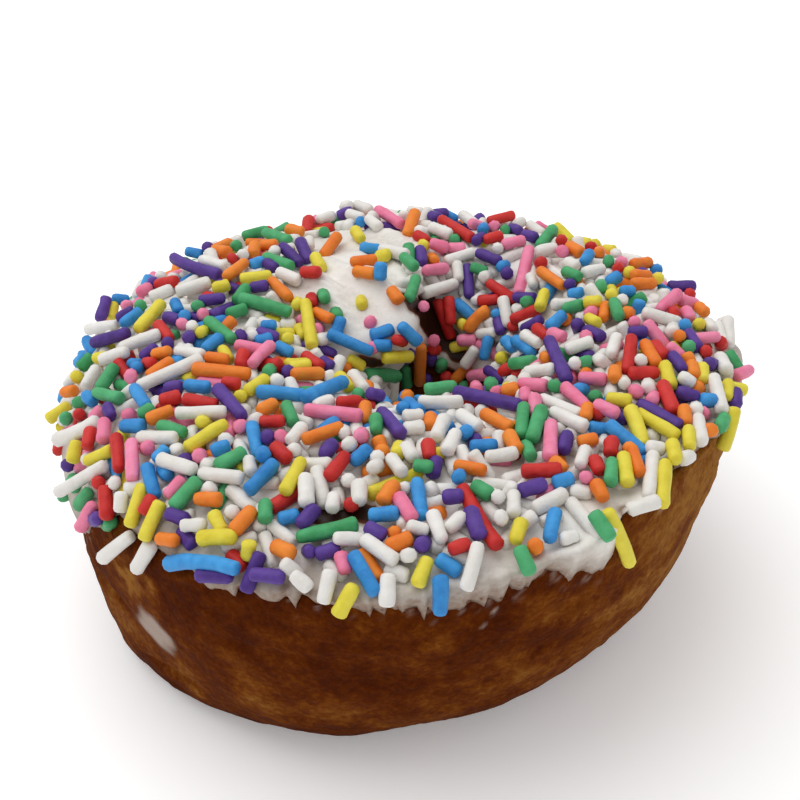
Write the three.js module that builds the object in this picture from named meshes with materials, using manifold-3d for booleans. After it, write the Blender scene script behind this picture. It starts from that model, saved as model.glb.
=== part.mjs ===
// Ring doughnut with a skin of white frosting and sprinkles. Millimetres, +Z up.
// It rests on its flat underside, and the origin is on that plane, at the middle of the bounding box.
import * as THREE from 'three';
import { mergeVertices } from 'three/addons/utils/BufferGeometryUtils.js';
import Module from 'manifold-3d';

const wasm = await Module();
wasm.setup();

const DEG = Math.PI / 180;

// Section of the dough ring: radii from the ring's axis, heights above the table.
const CREST_RADIUS = 25;
const CREST_HEIGHT = 36.6;
const WIDEST_RADIUS = 43.1;
const WIDEST_HEIGHT = 28.2;
const BASE_RADIUS = 31.5;
const BASE_INNER_RADIUS = 17;
const HOLE_RADIUS = 8.3;
const HOLE_HEIGHT = 19;

// Roundness of the four quarters of the section: 2 is an ellipse, more is boxier, less is flatter.
const ROUND_TOP_OUTER = 2;
const ROUND_TOP_INNER = 2.1;
const ROUND_BASE_OUTER = 1.76;
const ROUND_BASE_INNER = 2;

// The hole lies off the ring's axis, and the ring's own unevenness is given as shares of each size,
// by waves that go so many turns round the ring.
const HOLE_OFFSET = new THREE.Vector2(6, 3.5);
const OUTLINE_WAVES = [
  { turns: 1, cos: 0.009, sin: -0.009 },
  { turns: 2, cos: -0.031, sin: -0.0065 },
  { turns: 3, cos: 0.001, sin: 0.008 },
];
const WIDEST_HEIGHT_WAVES = [
  { turns: 1, cos: 0.114, sin: -0.097 },
  { turns: 2, cos: -0.014, sin: -0.049 },
];
const CREST_HEIGHT_WAVES = [
  { turns: 1, cos: -0.015, sin: -0.01 },
  { turns: 2, cos: 0.014, sin: -0.009 },
  { turns: 3, cos: 0.017, sin: -0.0015 },
];
const BASE_WAVES = [
  { turns: 1, cos: -0.067, sin: -0.022 },
  { turns: 2, cos: 0.043, sin: 0.089 },
  { turns: 3, cos: 0.013, sin: -0.034 },
  { turns: 4, cos: 0.027, sin: 0.007 },
];

// Beside the hole the ring swells inwards in a tongue, and opposite it the hole's slope is wider.
const SWELLS = [
  { at: 120 * DEG, width: 30 * DEG, inwards: 11, up: 0.3, boxier: 1.4 },
  { at: 235 * DEG, width: 45 * DEG, inwards: -3, up: -0.5, boxier: 0 },
];
const TONGUE = {
  centre: new THREE.Vector3(-4, 7.5, 35.5),
  reach: 5.8,
  push: new THREE.Vector3(7, -8, 0),
};

// Frosting: a skin that lies just clear of the dough.
const GAP = 0.3;
const FROSTING_THICKNESS = 1.2;
const FROSTING_LIP = 0.7;
const FROSTING_INNER_EDGE = 168 * DEG;
const FROSTING_EDGE = -2 * DEG;
const EDGE_BENDS = [
  { at: 235 * DEG, width: 16 * DEG, by: 14.5 * DEG },
  { at: 296 * DEG, width: 17 * DEG, by: -8 * DEG },
  { at: 203 * DEG, width: 12 * DEG, by: -13 * DEG },
  { at: 60 * DEG, width: 30 * DEG, by: -5 * DEG },
  { at: 130 * DEG, width: 22 * DEG, by: 5 * DEG },
];
const EDGE_RIPPLE = 1.6 * DEG;
const EDGE_RIPPLE_TURNS = 11;

// Sprinkles: short five-sided rods, the longest laid first.
const SPRINKLE_RADIUS = 0.9;
const SPRINKLE_LONGEST = 8.5;
const SPRINKLE_SHORTEST = 3.4;
const SPRINKLE_COUNT = 155;
const SPRINKLE_TRIES = 6000;
const SPRINKLE_CLEARANCE = 0.5;
const SPRINKLE_RISE = 0.2;
const SPRINKLE_SIDES = 5;
const SPRINKLE_NEAREST_SHARE = 0.07;
const SPRINKLE_FARTHEST_SHARE = 0.86;
const SHORTENING = 0.4;
const SPOTS_ALONG = [-0.5, -0.25, 0, 0.25, 0.5];
const BARE_RADIUS = 8;
const BARE_MIDDLE = 0.4;
const SEED = 7;

// Grid of the surfaces.
const STEPS_ROUND = 54;
const STEPS_TOP = 12;
const STEPS_OUTER_SIDE = 5;
const STEPS_INNER_SIDE = 4;
const NORMAL_STEP = 0.5 * DEG;
const WELD = 1e-4;

const UNDERSIDE_OUTER = -90 * DEG;
const UNDERSIDE_INNER = 270 * DEG;

function wave(around, waves) {
  return waves.reduce((sum, { turns, cos, sin }) => {
    const turned = turns * around;
    return sum + cos * Math.cos(turned) + sin * Math.sin(turned);
  }, 0);
}

function turnBetween(a, b) {
  return Math.atan2(Math.sin(a - b), Math.cos(a - b));
}

function hump(around, at, width) {
  return Math.exp(-((turnBetween(around, at) / width) ** 2));
}

function rounded(value, roundness) {
  return Math.max(value, 0) ** (2 / roundness);
}

// Radius and height of the section at one angle: 0 is the widest line, 90 degrees the crest,
// 180 degrees the hole's wall, and -90 and 270 degrees the two edges of the underside.
function section(around, angle) {
  const widest = WIDEST_RADIUS * (1 + wave(around, OUTLINE_WAVES));
  const widestHeight = WIDEST_HEIGHT * (1 + wave(around, WIDEST_HEIGHT_WAVES));
  const base = BASE_RADIUS * (1 + wave(around, BASE_WAVES));
  let crest = CREST_RADIUS;
  let height = CREST_HEIGHT * (1 + wave(around, CREST_HEIGHT_WAVES));
  let innerRoundness = ROUND_TOP_INNER;
  for (const swell of SWELLS) {
    const share = hump(around, swell.at, swell.width);
    crest -= swell.inwards * share;
    height += swell.up * share;
    innerRoundness += swell.boxier * share;
  }
  const out = Math.cos(angle);
  const up = Math.sin(angle);
  if (out >= 0 && up >= 0) {
    return {
      radius: crest + (widest - crest) * rounded(out, ROUND_TOP_OUTER),
      height: widestHeight + (height - widestHeight) * rounded(up, ROUND_TOP_OUTER),
    };
  }
  if (out >= 0 && angle < 90 * DEG) {
    return {
      radius: base + (widest - base) * rounded(out, ROUND_BASE_OUTER),
      height: widestHeight * (1 - rounded(-up, ROUND_BASE_OUTER)),
    };
  }
  if (up >= 0) {
    return {
      radius: crest - (crest - HOLE_RADIUS) * rounded(-out, innerRoundness),
      height: HOLE_HEIGHT + (height - HOLE_HEIGHT) * rounded(up, innerRoundness),
    };
  }
  return {
    radius: BASE_INNER_RADIUS - (BASE_INNER_RADIUS - HOLE_RADIUS) * rounded(-out, ROUND_BASE_INNER),
    height: HOLE_HEIGHT * (1 - rounded(-up, ROUND_BASE_INNER)),
  };
}

// A point of the dough's surface. The hole's offset fades out towards the rim.
function doughPoint(around, angle) {
  const { radius, height } = section(around, angle);
  const outwards = THREE.MathUtils.smoothstep(radius, HOLE_RADIUS, WIDEST_RADIUS);
  const point = new THREE.Vector3(
    radius * Math.cos(around) + HOLE_OFFSET.x * (1 - outwards),
    radius * Math.sin(around) + HOLE_OFFSET.y * (1 - outwards),
    height,
  );
  const share = Math.exp(-point.distanceToSquared(TONGUE.centre) / (2 * TONGUE.reach ** 2));
  return point.addScaledVector(TONGUE.push, share);
}

function doughNormal(around, angle) {
  const alongRing = doughPoint(around + NORMAL_STEP, angle).sub(doughPoint(around - NORMAL_STEP, angle));
  const alongSection = doughPoint(around, angle + NORMAL_STEP).sub(doughPoint(around, angle - NORMAL_STEP));
  return alongRing.cross(alongSection).normalize();
}

function frostingEdge(around) {
  const bends = EDGE_BENDS.reduce((sum, bend) => sum + bend.by * hump(around, bend.at, bend.width), 0);
  return FROSTING_EDGE + bends + EDGE_RIPPLE * Math.sin(EDGE_RIPPLE_TURNS * around);
}

function frostingAngle(around, share) {
  return THREE.MathUtils.lerp(frostingEdge(around), FROSTING_INNER_EDGE, share);
}

function frostingPoint(around, share, clearance) {
  const angle = frostingAngle(around, share);
  return doughPoint(around, angle).addScaledVector(doughNormal(around, angle), clearance);
}

// A closed ring from one loop of points for each step round it.
function ringGeometry(loopAt) {
  const loops = [];
  for (let i = 0; i < STEPS_ROUND; i += 1) {
    loops.push(loopAt((i / STEPS_ROUND) * 2 * Math.PI));
  }
  const size = loops[0].length;
  const positions = loops.flatMap((loop) => loop.flatMap((point) => point.toArray()));
  const index = [];
  for (let i = 0; i < STEPS_ROUND; i += 1) {
    const next = (i + 1) % STEPS_ROUND;
    for (let j = 0; j < size; j += 1) {
      const after = (j + 1) % size;
      const [a, b, c, d] = [i * size + j, next * size + j, next * size + after, i * size + after];
      index.push(a, b, c, a, c, d);
    }
  }
  const geometry = new THREE.BufferGeometry();
  geometry.setAttribute('position', new THREE.Float32BufferAttribute(positions, 3));
  geometry.setIndex(index);
  return geometry;
}

function doughGeometry() {
  return ringGeometry((around) => {
    const loop = [];
    const edge = frostingEdge(around);
    for (let j = 0; j < STEPS_OUTER_SIDE; j += 1) {
      loop.push(doughPoint(around, THREE.MathUtils.lerp(UNDERSIDE_OUTER, edge, j / STEPS_OUTER_SIDE)));
    }
    for (let j = 0; j < STEPS_TOP; j += 1) {
      loop.push(doughPoint(around, frostingAngle(around, j / STEPS_TOP)));
    }
    for (let j = 0; j <= STEPS_INNER_SIDE; j += 1) {
      const angle = THREE.MathUtils.lerp(FROSTING_INNER_EDGE, UNDERSIDE_INNER, j / STEPS_INNER_SIDE);
      loop.push(doughPoint(around, angle));
    }
    return loop;
  });
}

function frostingSkinGeometry() {
  return ringGeometry((around) => {
    const outer = [];
    const inner = [];
    for (let j = 0; j <= STEPS_TOP; j += 1) {
      const thickness = j === 0 || j === STEPS_TOP ? FROSTING_LIP : FROSTING_THICKNESS;
      outer.push(frostingPoint(around, j / STEPS_TOP, GAP + thickness));
      inner.unshift(frostingPoint(around, j / STEPS_TOP, GAP));
    }
    return [...outer, ...inner];
  });
}

// A rod along Y with low pointed ends, closed on its axis.
function sprinkleGeometry(length) {
  const half = length / 2;
  const profile = [
    new THREE.Vector2(0, -half),
    new THREE.Vector2(SPRINKLE_RADIUS, -half + SPRINKLE_RADIUS / 2),
    new THREE.Vector2(SPRINKLE_RADIUS, half - SPRINKLE_RADIUS / 2),
    new THREE.Vector2(0, half),
  ];
  return new THREE.LatheGeometry(profile, SPRINKLE_SIDES);
}

function toSolid(source) {
  const geometry = source.clone();
  geometry.deleteAttribute('normal');
  geometry.deleteAttribute('uv');
  const merged = mergeVertices(geometry, WELD);
  const index = Array.from(merged.index.array);
  const corners = [];
  for (let i = 0; i < index.length; i += 3) {
    const [a, b, c] = index.slice(i, i + 3);
    if (a !== b && b !== c && c !== a) corners.push(a, b, c);
  }
  return new wasm.Manifold(new wasm.Mesh({
    numProp: 3,
    vertProperties: new Float32Array(merged.attributes.position.array),
    triVerts: new Uint32Array(corners),
  }));
}

function toGeometry(solid) {
  const mesh = solid.getMesh();
  const geometry = new THREE.BufferGeometry();
  geometry.setAttribute('position', new THREE.Float32BufferAttribute(mesh.vertProperties, 3));
  geometry.setIndex(Array.from(mesh.triVerts));
  return geometry;
}

function seededRandom(seed) {
  let state = seed;
  return () => {
    state = (state + 0x6d2b79f5) | 0;
    let mixed = Math.imul(state ^ (state >>> 15), 1 | state);
    mixed = (mixed + Math.imul(mixed ^ (mixed >>> 7), 61 | mixed)) ^ mixed;
    return ((mixed ^ (mixed >>> 14)) >>> 0) / 4294967296;
  };
}

function gapBetween(a, b) {
  let least = Infinity;
  for (const first of a.spots) {
    for (const second of b.spots) {
      least = Math.min(least, first.distanceTo(second));
    }
  }
  return least;
}

// One sprinkle lying on the frosting at a random place and turn.
function placeSprinkle(random, length) {
  const around = random() * 2 * Math.PI;
  const share = THREE.MathUtils.lerp(SPRINKLE_NEAREST_SHARE, SPRINKLE_FARTHEST_SHARE, random());
  const angle = frostingAngle(around, share);
  const normal = doughNormal(around, angle);
  const middle = frostingPoint(around, share, GAP + FROSTING_THICKNESS + SPRINKLE_RISE);
  const along = new THREE.Vector3(random() - 0.5, random() - 0.5, random() - 0.5);
  along.projectOnPlane(normal).normalize();
  const spots = SPOTS_ALONG.map((part) => middle.clone().addScaledVector(along, part * length));
  return { length, middle, along, normal, spots, weight: section(around, angle).radius / WIDEST_RADIUS };
}

// The longest sprinkles are laid first, spread evenly, and the tongue's crest stays nearly bare.
function laySprinkles() {
  const random = seededRandom(SEED);
  const bareCentre = TONGUE.centre.clone().addScaledVector(TONGUE.push, BARE_MIDDLE);
  const laid = [];
  for (let attempt = 0; attempt < SPRINKLE_TRIES && laid.length < SPRINKLE_COUNT; attempt += 1) {
    const shortened = (laid.length / SPRINKLE_COUNT) ** SHORTENING;
    const length = THREE.MathUtils.lerp(SPRINKLE_LONGEST, SPRINKLE_SHORTEST, shortened);
    const sprinkle = placeSprinkle(random, length);
    const wanted = random() < sprinkle.weight && sprinkle.middle.distanceTo(bareCentre) > BARE_RADIUS;
    const clearance = 2 * SPRINKLE_RADIUS + SPRINKLE_CLEARANCE;
    if (wanted && laid.every((other) => gapBetween(sprinkle, other) > clearance)) laid.push(sprinkle);
  }
  return laid;
}

function sprinkleSolid({ length, middle, along, normal }) {
  const side = new THREE.Vector3().crossVectors(normal, along).normalize();
  const place = new THREE.Matrix4().makeBasis(side, along, new THREE.Vector3().crossVectors(side, along));
  place.setPosition(middle);
  return toSolid(sprinkleGeometry(length).applyMatrix4(place));
}

function frostingGeometry() {
  let solid = toSolid(frostingSkinGeometry());
  for (const sprinkle of laySprinkles()) {
    solid = solid.add(sprinkleSolid(sprinkle));
  }
  return toGeometry(solid);
}

function doughMaterial() {
  return new THREE.MeshStandardMaterial({ color: 0x8a4a1c, roughness: 0.7, metalness: 0 });
}

function frostingMaterial() {
  return new THREE.MeshStandardMaterial({ color: 0xe9e6df, roughness: 0.45, metalness: 0 });
}

function namedMesh(name, geometry, material) {
  const mesh = new THREE.Mesh(geometry, material);
  mesh.name = name;
  return mesh;
}

// Moves the group so that the origin is at the middle of its bounding box, on the table.
function standAtOrigin(group) {
  const box = new THREE.Box3().setFromObject(group);
  const middle = box.getCenter(new THREE.Vector3());
  group.position.set(-middle.x, -middle.y, -box.min.z);
}

const doughnut = new THREE.Group();
doughnut.add(namedMesh('dough', doughGeometry(), doughMaterial()));
doughnut.add(namedMesh('frosting', frostingGeometry(), frostingMaterial()));
standAtOrigin(doughnut);

export default doughnut;
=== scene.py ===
import math

import bpy
import numpy as np
from mathutils import Matrix, Vector
from mathutils.bvhtree import BVHTree


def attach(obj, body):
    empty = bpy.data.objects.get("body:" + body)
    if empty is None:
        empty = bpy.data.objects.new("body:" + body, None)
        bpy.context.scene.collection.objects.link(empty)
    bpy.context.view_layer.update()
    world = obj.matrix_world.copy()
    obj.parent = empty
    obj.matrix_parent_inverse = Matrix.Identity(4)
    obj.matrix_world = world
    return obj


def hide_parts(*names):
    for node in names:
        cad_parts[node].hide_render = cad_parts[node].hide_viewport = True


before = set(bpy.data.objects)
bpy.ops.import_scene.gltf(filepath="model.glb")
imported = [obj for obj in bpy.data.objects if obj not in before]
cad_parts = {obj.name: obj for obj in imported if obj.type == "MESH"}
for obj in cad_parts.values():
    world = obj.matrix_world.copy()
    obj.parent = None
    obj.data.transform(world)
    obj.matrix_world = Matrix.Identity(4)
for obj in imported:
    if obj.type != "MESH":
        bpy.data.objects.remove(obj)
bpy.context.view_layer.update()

# Ring doughnut: a fried crust, a skin of white icing and sugar rods in eight colours.
# Shapes are worked out in millimetres, in the frame's axes, and scaled to metres as they are made.
MM = 0.001

# ---------------------------------------------------------------- the dough ring, as in the frame
RING_AXIS = np.array([-0.908, 1.165])
CREST_RADIUS = 25.0
CREST_HEIGHT = 36.6
WIDEST_RADIUS = 43.1
WIDEST_HEIGHT = 28.2
BASE_RADIUS = 31.5
BASE_INNER_RADIUS = 17.0
HOLE_RADIUS = 8.3
HOLE_HEIGHT = 19.0
ROUND_TOP_OUTER = 2.0
ROUND_TOP_INNER = 2.1
ROUND_BASE_OUTER = 1.76
ROUND_BASE_INNER = 2.0
HOLE_OFFSET = np.array([6.0, 3.5])

# Unevenness: (turns round the ring, share by cosine, share by sine).
OUTLINE_WAVES = [(1, 0.009, -0.009), (2, -0.031, -0.0065), (3, 0.001, 0.008)]
WIDEST_HEIGHT_WAVES = [(1, 0.114, -0.097), (2, -0.014, -0.049)]
CREST_HEIGHT_WAVES = [(1, -0.015, -0.01), (2, 0.014, -0.009), (3, 0.017, -0.0015)]
BASE_WAVES = [(1, -0.067, -0.022), (2, 0.043, 0.089), (3, 0.013, -0.034), (4, 0.027, 0.007)]

# Swells beside the hole: (bearing, width, inwards, up, boxier), angles in degrees.
SWELLS = [(120, 30, 11.0, 0.3, 1.4), (235, 45, -3.0, -0.5, 0.0)]
TONGUE_CENTRE = np.array([-4.0, 7.5, 35.5])
TONGUE_REACH = 5.8
TONGUE_PUSH = np.array([7.0, -8.0, 0.0])

# Steps of the normals and of the coarse grids that rays are cast on, in degrees.
NORMAL_STEP = 0.6
GRID_BEARING_STEP = 1.0
GRID_ANGLE_STEP = 1.5
SHORTEST_RAY = 130.0
LONGEST_RAY = 250.0
# Angles of the section between which things are placed: on the side, or on the top and in the hole.
SIDE_ANGLES = (-80.0, 90.0)
TOP_ANGLES = (-30.0, 175.0)

# Icing edge: angle on the section in degrees, with bends (bearing, width, by).
ICING_CLEARANCE = 0.02
ICING_EDGE = -2.0
ICING_INNER_EDGE = 168.0
EDGE_BENDS = [(235, 16, 14.5), (296, 17, -8), (203, 12, -13), (60, 30, -5), (130, 22, 5)]
EDGE_RIPPLE = 1.6
EDGE_RIPPLE_TURNS = 11
TEETH = 120
TOOTH_WIDTHS = (0.5, 1.3)
TOOTH_LENGTHS = (0.8, 4.6)
WIDE_TOOTH = 1.0
WIDE_TOOTH_LENGTH = 0.4
SMALL_TEETH = 0.22
SMALL_TEETH_TURNS = 3.0
TRACED_BLEND = 5.0
PILE_DEPTH = 1.9
PILE_RAMP_OUTER = 0.17
PILE_RAMP_INNER = 0.12
BARE_RAISE = 0.35
BARE_SINK = 0.75
BARE_SPOTS = [
    (np.array([-7.0, 19.0, 37.0]), 7.0),
    (np.array([-6.5, 11.0, 38.0]), 7.5),
    (np.array([-1.5, 5.0, 36.0]), 7.0),
    (np.array([-7.0, 27.0, 36.0]), 6.0),
    (np.array([1.5, 26.0, 36.0]), 4.5),
]
# Folds and swells of the icing: (first pixel, last pixel, reach, height), reach and height in millimetres.
FOLDS = [
    ((350, 262), (372, 284), 2.0, 1.0),
    ((372, 284), (404, 322), 2.0, 0.8),
    ((372, 340), (404, 345), 2.4, 0.5),
    ((345, 212), (350, 245), 1.6, 0.5),
    ((398, 212), (428, 252), 1.6, 0.7),
    ((310, 250), (330, 290), 2.0, 0.5),
    ((346, 206), (370, 210), 2.4, 1.8),
    ((324, 216), (344, 208), 1.3, 0.8),
    ((372, 229), (400, 239), 1.1, 0.8),
    ((326, 263), (352, 279), 0.85, 1.0),
    ((352, 279), (380, 287), 0.85, 0.9),
    ((380, 287), (403, 307), 0.85, 0.8),
    ((296, 279), (322, 284), 0.9, 0.9),
    ((322, 284), (338, 312), 0.9, 0.6),
    ((352, 240), (364, 262), 0.9, 0.7),
    ((388, 258), (406, 274), 1.2, 0.7),
    ((722, 322), (735, 350), 3.2, 0.8),
    ((735, 350), (737, 392), 3.2, 0.8),
]
FOLD_SQUARENESS = 2.6
BED_EDGE = 0.005
BED_RAMP = 0.02
BED_ON_CRUST = 0.75
BED_ON_ICING = 1.6
BED_ON_PILE = 1.2

# The icing's lower edge on the side that shows, as pixels of the camera's view, left to right.
EDGE_PIXELS = [
    (74, 529), (88, 528), (104, 529), (116, 516), (122, 514), (128, 526), (140, 536), (150, 542),
    (163, 552), (180, 562), (196, 572), (205, 584), (210, 590), (216, 588), (225, 589), (231, 590),
    (234, 596), (238, 592), (241, 586), (255, 592), (262, 598), (267, 601), (275, 601), (280, 600),
    (284, 596), (290, 597), (294, 604), (297, 611), (300, 593), (305, 593), (311, 598), (318, 604),
    (329, 602), (342, 604), (356, 610), (361, 614), (366, 606), (371, 608), (375, 621), (380, 611),
    (383, 607), (387, 617), (392, 609), (396, 607), (401, 613), (406, 615), (411, 609), (418, 606),
    (423, 606), (426, 614), (429, 622), (433, 611), (440, 609), (450, 611), (460, 606), (472, 601),
    (485, 598), (489, 604), (493, 598), (501, 601), (505, 588), (512, 587), (519, 587), (523, 592),
    (527, 588), (532, 581), (540, 576), (546, 568), (552, 568), (558, 572), (568, 580), (573, 576),
    (580, 572), (587, 571), (593, 573), (601, 571), (607, 564), (608, 552), (611, 535), (616, 515),
    (623, 507), (634, 510), (650, 507), (663, 501), (669, 484), (673, 468), (682, 467), (690, 463),
    (695, 451), (703, 445), (709, 436), (719, 433), (727, 428), (733, 412),
]


def chance(seed):
    return np.random.RandomState(seed)


def wave(around, waves):
    return sum(c * np.cos(n * around) + s * np.sin(n * around) for n, c, s in waves)


def turned_from(around, bearing):
    """The turn from a bearing, half a turn at most either way."""
    apart = around - math.radians(bearing)
    return np.arctan2(np.sin(apart), np.cos(apart))


def hump(around, bearing, width):
    return np.exp(-((turned_from(around, bearing) / math.radians(width)) ** 2))


def rounded(value, roundness):
    return np.maximum(value, 0.0) ** (2.0 / roundness)


def smooth(value):
    value = np.clip(value, 0.0, 1.0)
    return value * value * (3.0 - 2.0 * value)


def section(around, angle):
    """Radius and height of the dough at a bearing and an angle of its section.

    The angle is -90 at the base's outer edge, 0 at the widest line, 90 at the crest, 180 at the hole's
    wall and 270 at the base's inner edge. From there to 300 it runs out over the flat base.
    """
    widest = WIDEST_RADIUS * (1 + wave(around, OUTLINE_WAVES))
    widest_height = WIDEST_HEIGHT * (1 + wave(around, WIDEST_HEIGHT_WAVES))
    base = BASE_RADIUS * (1 + wave(around, BASE_WAVES))
    crest = CREST_RADIUS + 0.0 * around
    height = CREST_HEIGHT * (1 + wave(around, CREST_HEIGHT_WAVES))
    inner = ROUND_TOP_INNER + 0.0 * around
    for bearing, width, inwards, up, boxier in SWELLS:
        share = hump(around, bearing, width)
        crest = crest - inwards * share
        height = height + up * share
        inner = inner + boxier * share
    turn = np.radians(angle)
    out, rise = np.cos(turn), np.sin(turn)
    where = [angle >= 270, angle < 0, angle < 90, angle < 180]
    flat = np.clip((angle - 270) / 30.0, 0, 1)
    radius = np.select(where, [
        BASE_INNER_RADIUS + (base - BASE_INNER_RADIUS) * flat,
        base + (widest - base) * rounded(out, ROUND_BASE_OUTER),
        crest + (widest - crest) * rounded(out, ROUND_TOP_OUTER),
        crest - (crest - HOLE_RADIUS) * rounded(-out, inner),
    ], BASE_INNER_RADIUS - (BASE_INNER_RADIUS - HOLE_RADIUS) * rounded(-out, ROUND_BASE_INNER))
    level = np.select(where, [
        0.0 * around,
        widest_height * (1 - rounded(-rise, ROUND_BASE_OUTER)),
        widest_height + (height - widest_height) * rounded(rise, ROUND_TOP_OUTER),
        HOLE_HEIGHT + (height - HOLE_HEIGHT) * rounded(rise, inner),
    ], HOLE_HEIGHT * (1 - rounded(-rise, ROUND_BASE_INNER)))
    return radius, level


def dough_point(around, angle):
    radius, level = section(around, angle)
    off = 1.0 - smooth((radius - HOLE_RADIUS) / (WIDEST_RADIUS - HOLE_RADIUS))
    point = np.stack([
        radius * np.cos(around) + HOLE_OFFSET[0] * off,
        radius * np.sin(around) + HOLE_OFFSET[1] * off,
        level,
    ], -1)
    share = np.exp(-((point - TONGUE_CENTRE) ** 2).sum(-1) / (2 * TONGUE_REACH ** 2))
    point = point + TONGUE_PUSH * share[..., None]
    point[..., :2] += RING_AXIS
    return point


def dough_normal(around, angle):
    turn = math.radians(NORMAL_STEP)
    along_ring = dough_point(around + turn, angle) - dough_point(around - turn, angle)
    along_section = dough_point(around, angle + NORMAL_STEP) - dough_point(around, angle - NORMAL_STEP)
    normal = np.cross(along_ring, along_section)
    return normal / np.maximum(np.linalg.norm(normal, axis=-1, keepdims=True), 1e-9)


def icing_teeth(around):
    """How far the icing's edge runs down in short points, in degrees of the section."""
    draw = chance(11)
    depth = 0.0 * around
    for _ in range(TEETH):
        bearing = draw.uniform(0, 360)
        width = draw.uniform(*TOOTH_WIDTHS)
        length = draw.uniform(*TOOTH_LENGTHS) * (WIDE_TOOTH_LENGTH if width > WIDE_TOOTH else 1.0)
        depth = np.maximum(depth, length * hump(around, bearing, width))
    return depth


def icing_edge(around):
    """The icing's lower edge as an angle of the section, with its points."""
    return np.interp(np.degrees(around), EDGE_BEARINGS, EDGE_TABLE, period=360)


def even_edge(around):
    """The edge without its points, which the icing's inner rows follow."""
    return np.interp(np.degrees(around), EDGE_BEARINGS, EVEN_EDGE_TABLE, period=360)


def beside(point, start, end):
    """Distance of points to the line between two points."""
    along = end - start
    share = np.clip(((point - start) @ along) / (along @ along + 1e-9), 0, 1)
    return np.linalg.norm(point - start - share[..., None] * along, axis=-1)


def surface_tree(surface, lowest, highest):
    """A coarse grid of a surface for rays, with the bearing and angle of each face."""
    bearings = np.radians(np.arange(0, 360, GRID_BEARING_STEP))
    around, angle = np.meshgrid(bearings, np.arange(lowest, highest, GRID_ANGLE_STEP), indexing="ij")
    rows, columns = around.shape
    points = surface(around.ravel(), angle.ravel())
    first = (np.arange(rows)[:, None] * columns + np.arange(columns - 1)[None, :]).ravel()
    after = (first + columns) % (rows * columns)
    faces = np.stack([first, after, after + 1, first + 1], 1)
    tree = BVHTree.FromPolygons(points.tolist(), faces.tolist())
    return (tree, around.ravel()[first] + math.radians(GRID_BEARING_STEP / 2),
            angle.ravel()[first] + GRID_ANGLE_STEP / 2)


def on_surface(tree, pixel):
    """The point where the ray through a pixel meets a surface, or comes nearest to it."""
    start, way = camera_ray(pixel)
    spot, _, _, _ = tree.ray_cast(Vector(start), Vector(way))
    if spot is not None:
        return np.array(spot)
    tries = [start + way * reach for reach in np.arange(SHORTEST_RAY, LONGEST_RAY, 1.0)]
    return min(tries, key=lambda place: tree.find_nearest(Vector(place))[3])


def traced_edge():
    """Bearings and angles of the icing's edge where it shows."""
    tree, around, angle = surface_tree(dough_point, -60.0, 90.0)
    line = []
    for pixel in EDGE_PIXELS:
        start, way = camera_ray(pixel)
        spot, _, face, _ = tree.ray_cast(Vector(start), Vector(way))
        if spot is not None:
            line.append((math.degrees(around[face]) % 360, angle[face]))
    line.sort()
    return np.array(line)


def edge_table():
    """The edge for every bearing: the traced line where it shows, a formula behind."""
    around = np.radians(EDGE_BEARINGS)
    bends = sum(by * hump(around, bearing, width) for bearing, width, by in EDGE_BENDS)
    hidden = ICING_EDGE + bends + EDGE_RIPPLE * np.sin(EDGE_RIPPLE_TURNS * around) - icing_teeth(around)
    line = traced_edge()
    traced = np.interp(EDGE_BEARINGS, line[:, 0], line[:, 1])
    traced = traced - SMALL_TEETH * icing_teeth(around * SMALL_TEETH_TURNS)
    inside = smooth((EDGE_BEARINGS - line[0, 0]) / TRACED_BLEND)
    inside = inside * smooth((line[-1, 0] - EDGE_BEARINGS) / TRACED_BLEND)
    return hidden + (traced - hidden) * inside


def evened(table, reach):
    spread = np.ones(reach) / reach
    return np.convolve(np.concatenate([table[-reach:], table, table[:reach]]), spread, "same")[reach:-reach]


def icing_share(around, angle):
    edge = icing_edge(around)
    return (angle - edge) / (ICING_INNER_EDGE - edge)


def bareness(point):
    """1 where the icing is bare of rods, on the tongue beside the hole."""
    bare = 0.0 * point[..., 0]
    for spot, reach in BARE_SPOTS:
        bare = np.maximum(bare, np.exp(-(((point - spot) ** 2).sum(-1) / reach ** 2) ** 2))
    return bare


def swelling(point):
    """How much thicker the icing is along its folds."""
    more = 0.0 * point[..., 0]
    for start, end, reach, height in PLACED_FOLDS:
        more = more + height * np.exp(-((beside(point, start, end) / reach) ** FOLD_SQUARENESS))
    return more


def on_dough(rows, lowest, highest):
    """Rows that start with two pixels, with the places on the dough instead."""
    tree, _, _ = surface_tree(dough_point, lowest, highest)
    return [(on_surface(tree, first), on_surface(tree, last), *rest) for first, last, *rest in rows]


def pile_inset(share, point):
    """How far the icing lies inside the frame's dough, so that the rods on it end at the frame's outline."""
    ramps = smooth(share / PILE_RAMP_OUTER) * smooth((1 - share) / PILE_RAMP_INNER)
    return PILE_DEPTH * ramps * (1 - BARE_RAISE * bareness(point))


def bed_point(around, angle):
    """Where the middles of the topmost rods lie: on the crust, on the icing's rim or on the pile."""
    point = dough_point(around, angle)
    share = icing_share(around, angle)
    on_icing = smooth((share + BED_EDGE) / BED_RAMP)
    height = BED_ON_CRUST + on_icing * (BED_ON_ICING - BED_ON_CRUST)
    height = height - (BED_ON_ICING - BED_ON_PILE) * pile_inset(share, point) / PILE_DEPTH
    height = height + swelling(point) - BARE_SINK * bareness(point)
    return point + dough_normal(around, angle) * height[:, None]


# ---------------------------------------------------------------- camera, as a pinhole for placing things
IMAGE_SIDE = 800
CAMERA_RISE = 34.5
CAMERA_ROLL = 2.5
CAMERA_DISTANCE = 190.0
FOCAL_PIXELS = 7.63 * CAMERA_DISTANCE
TARGET = np.array([*RING_AXIS, 20.0])
TARGET_PIXEL = np.array([391.0, 438.0])
FLAT_VIEW = np.array([1, 1, 0])
SENSOR = 36.0


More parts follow.
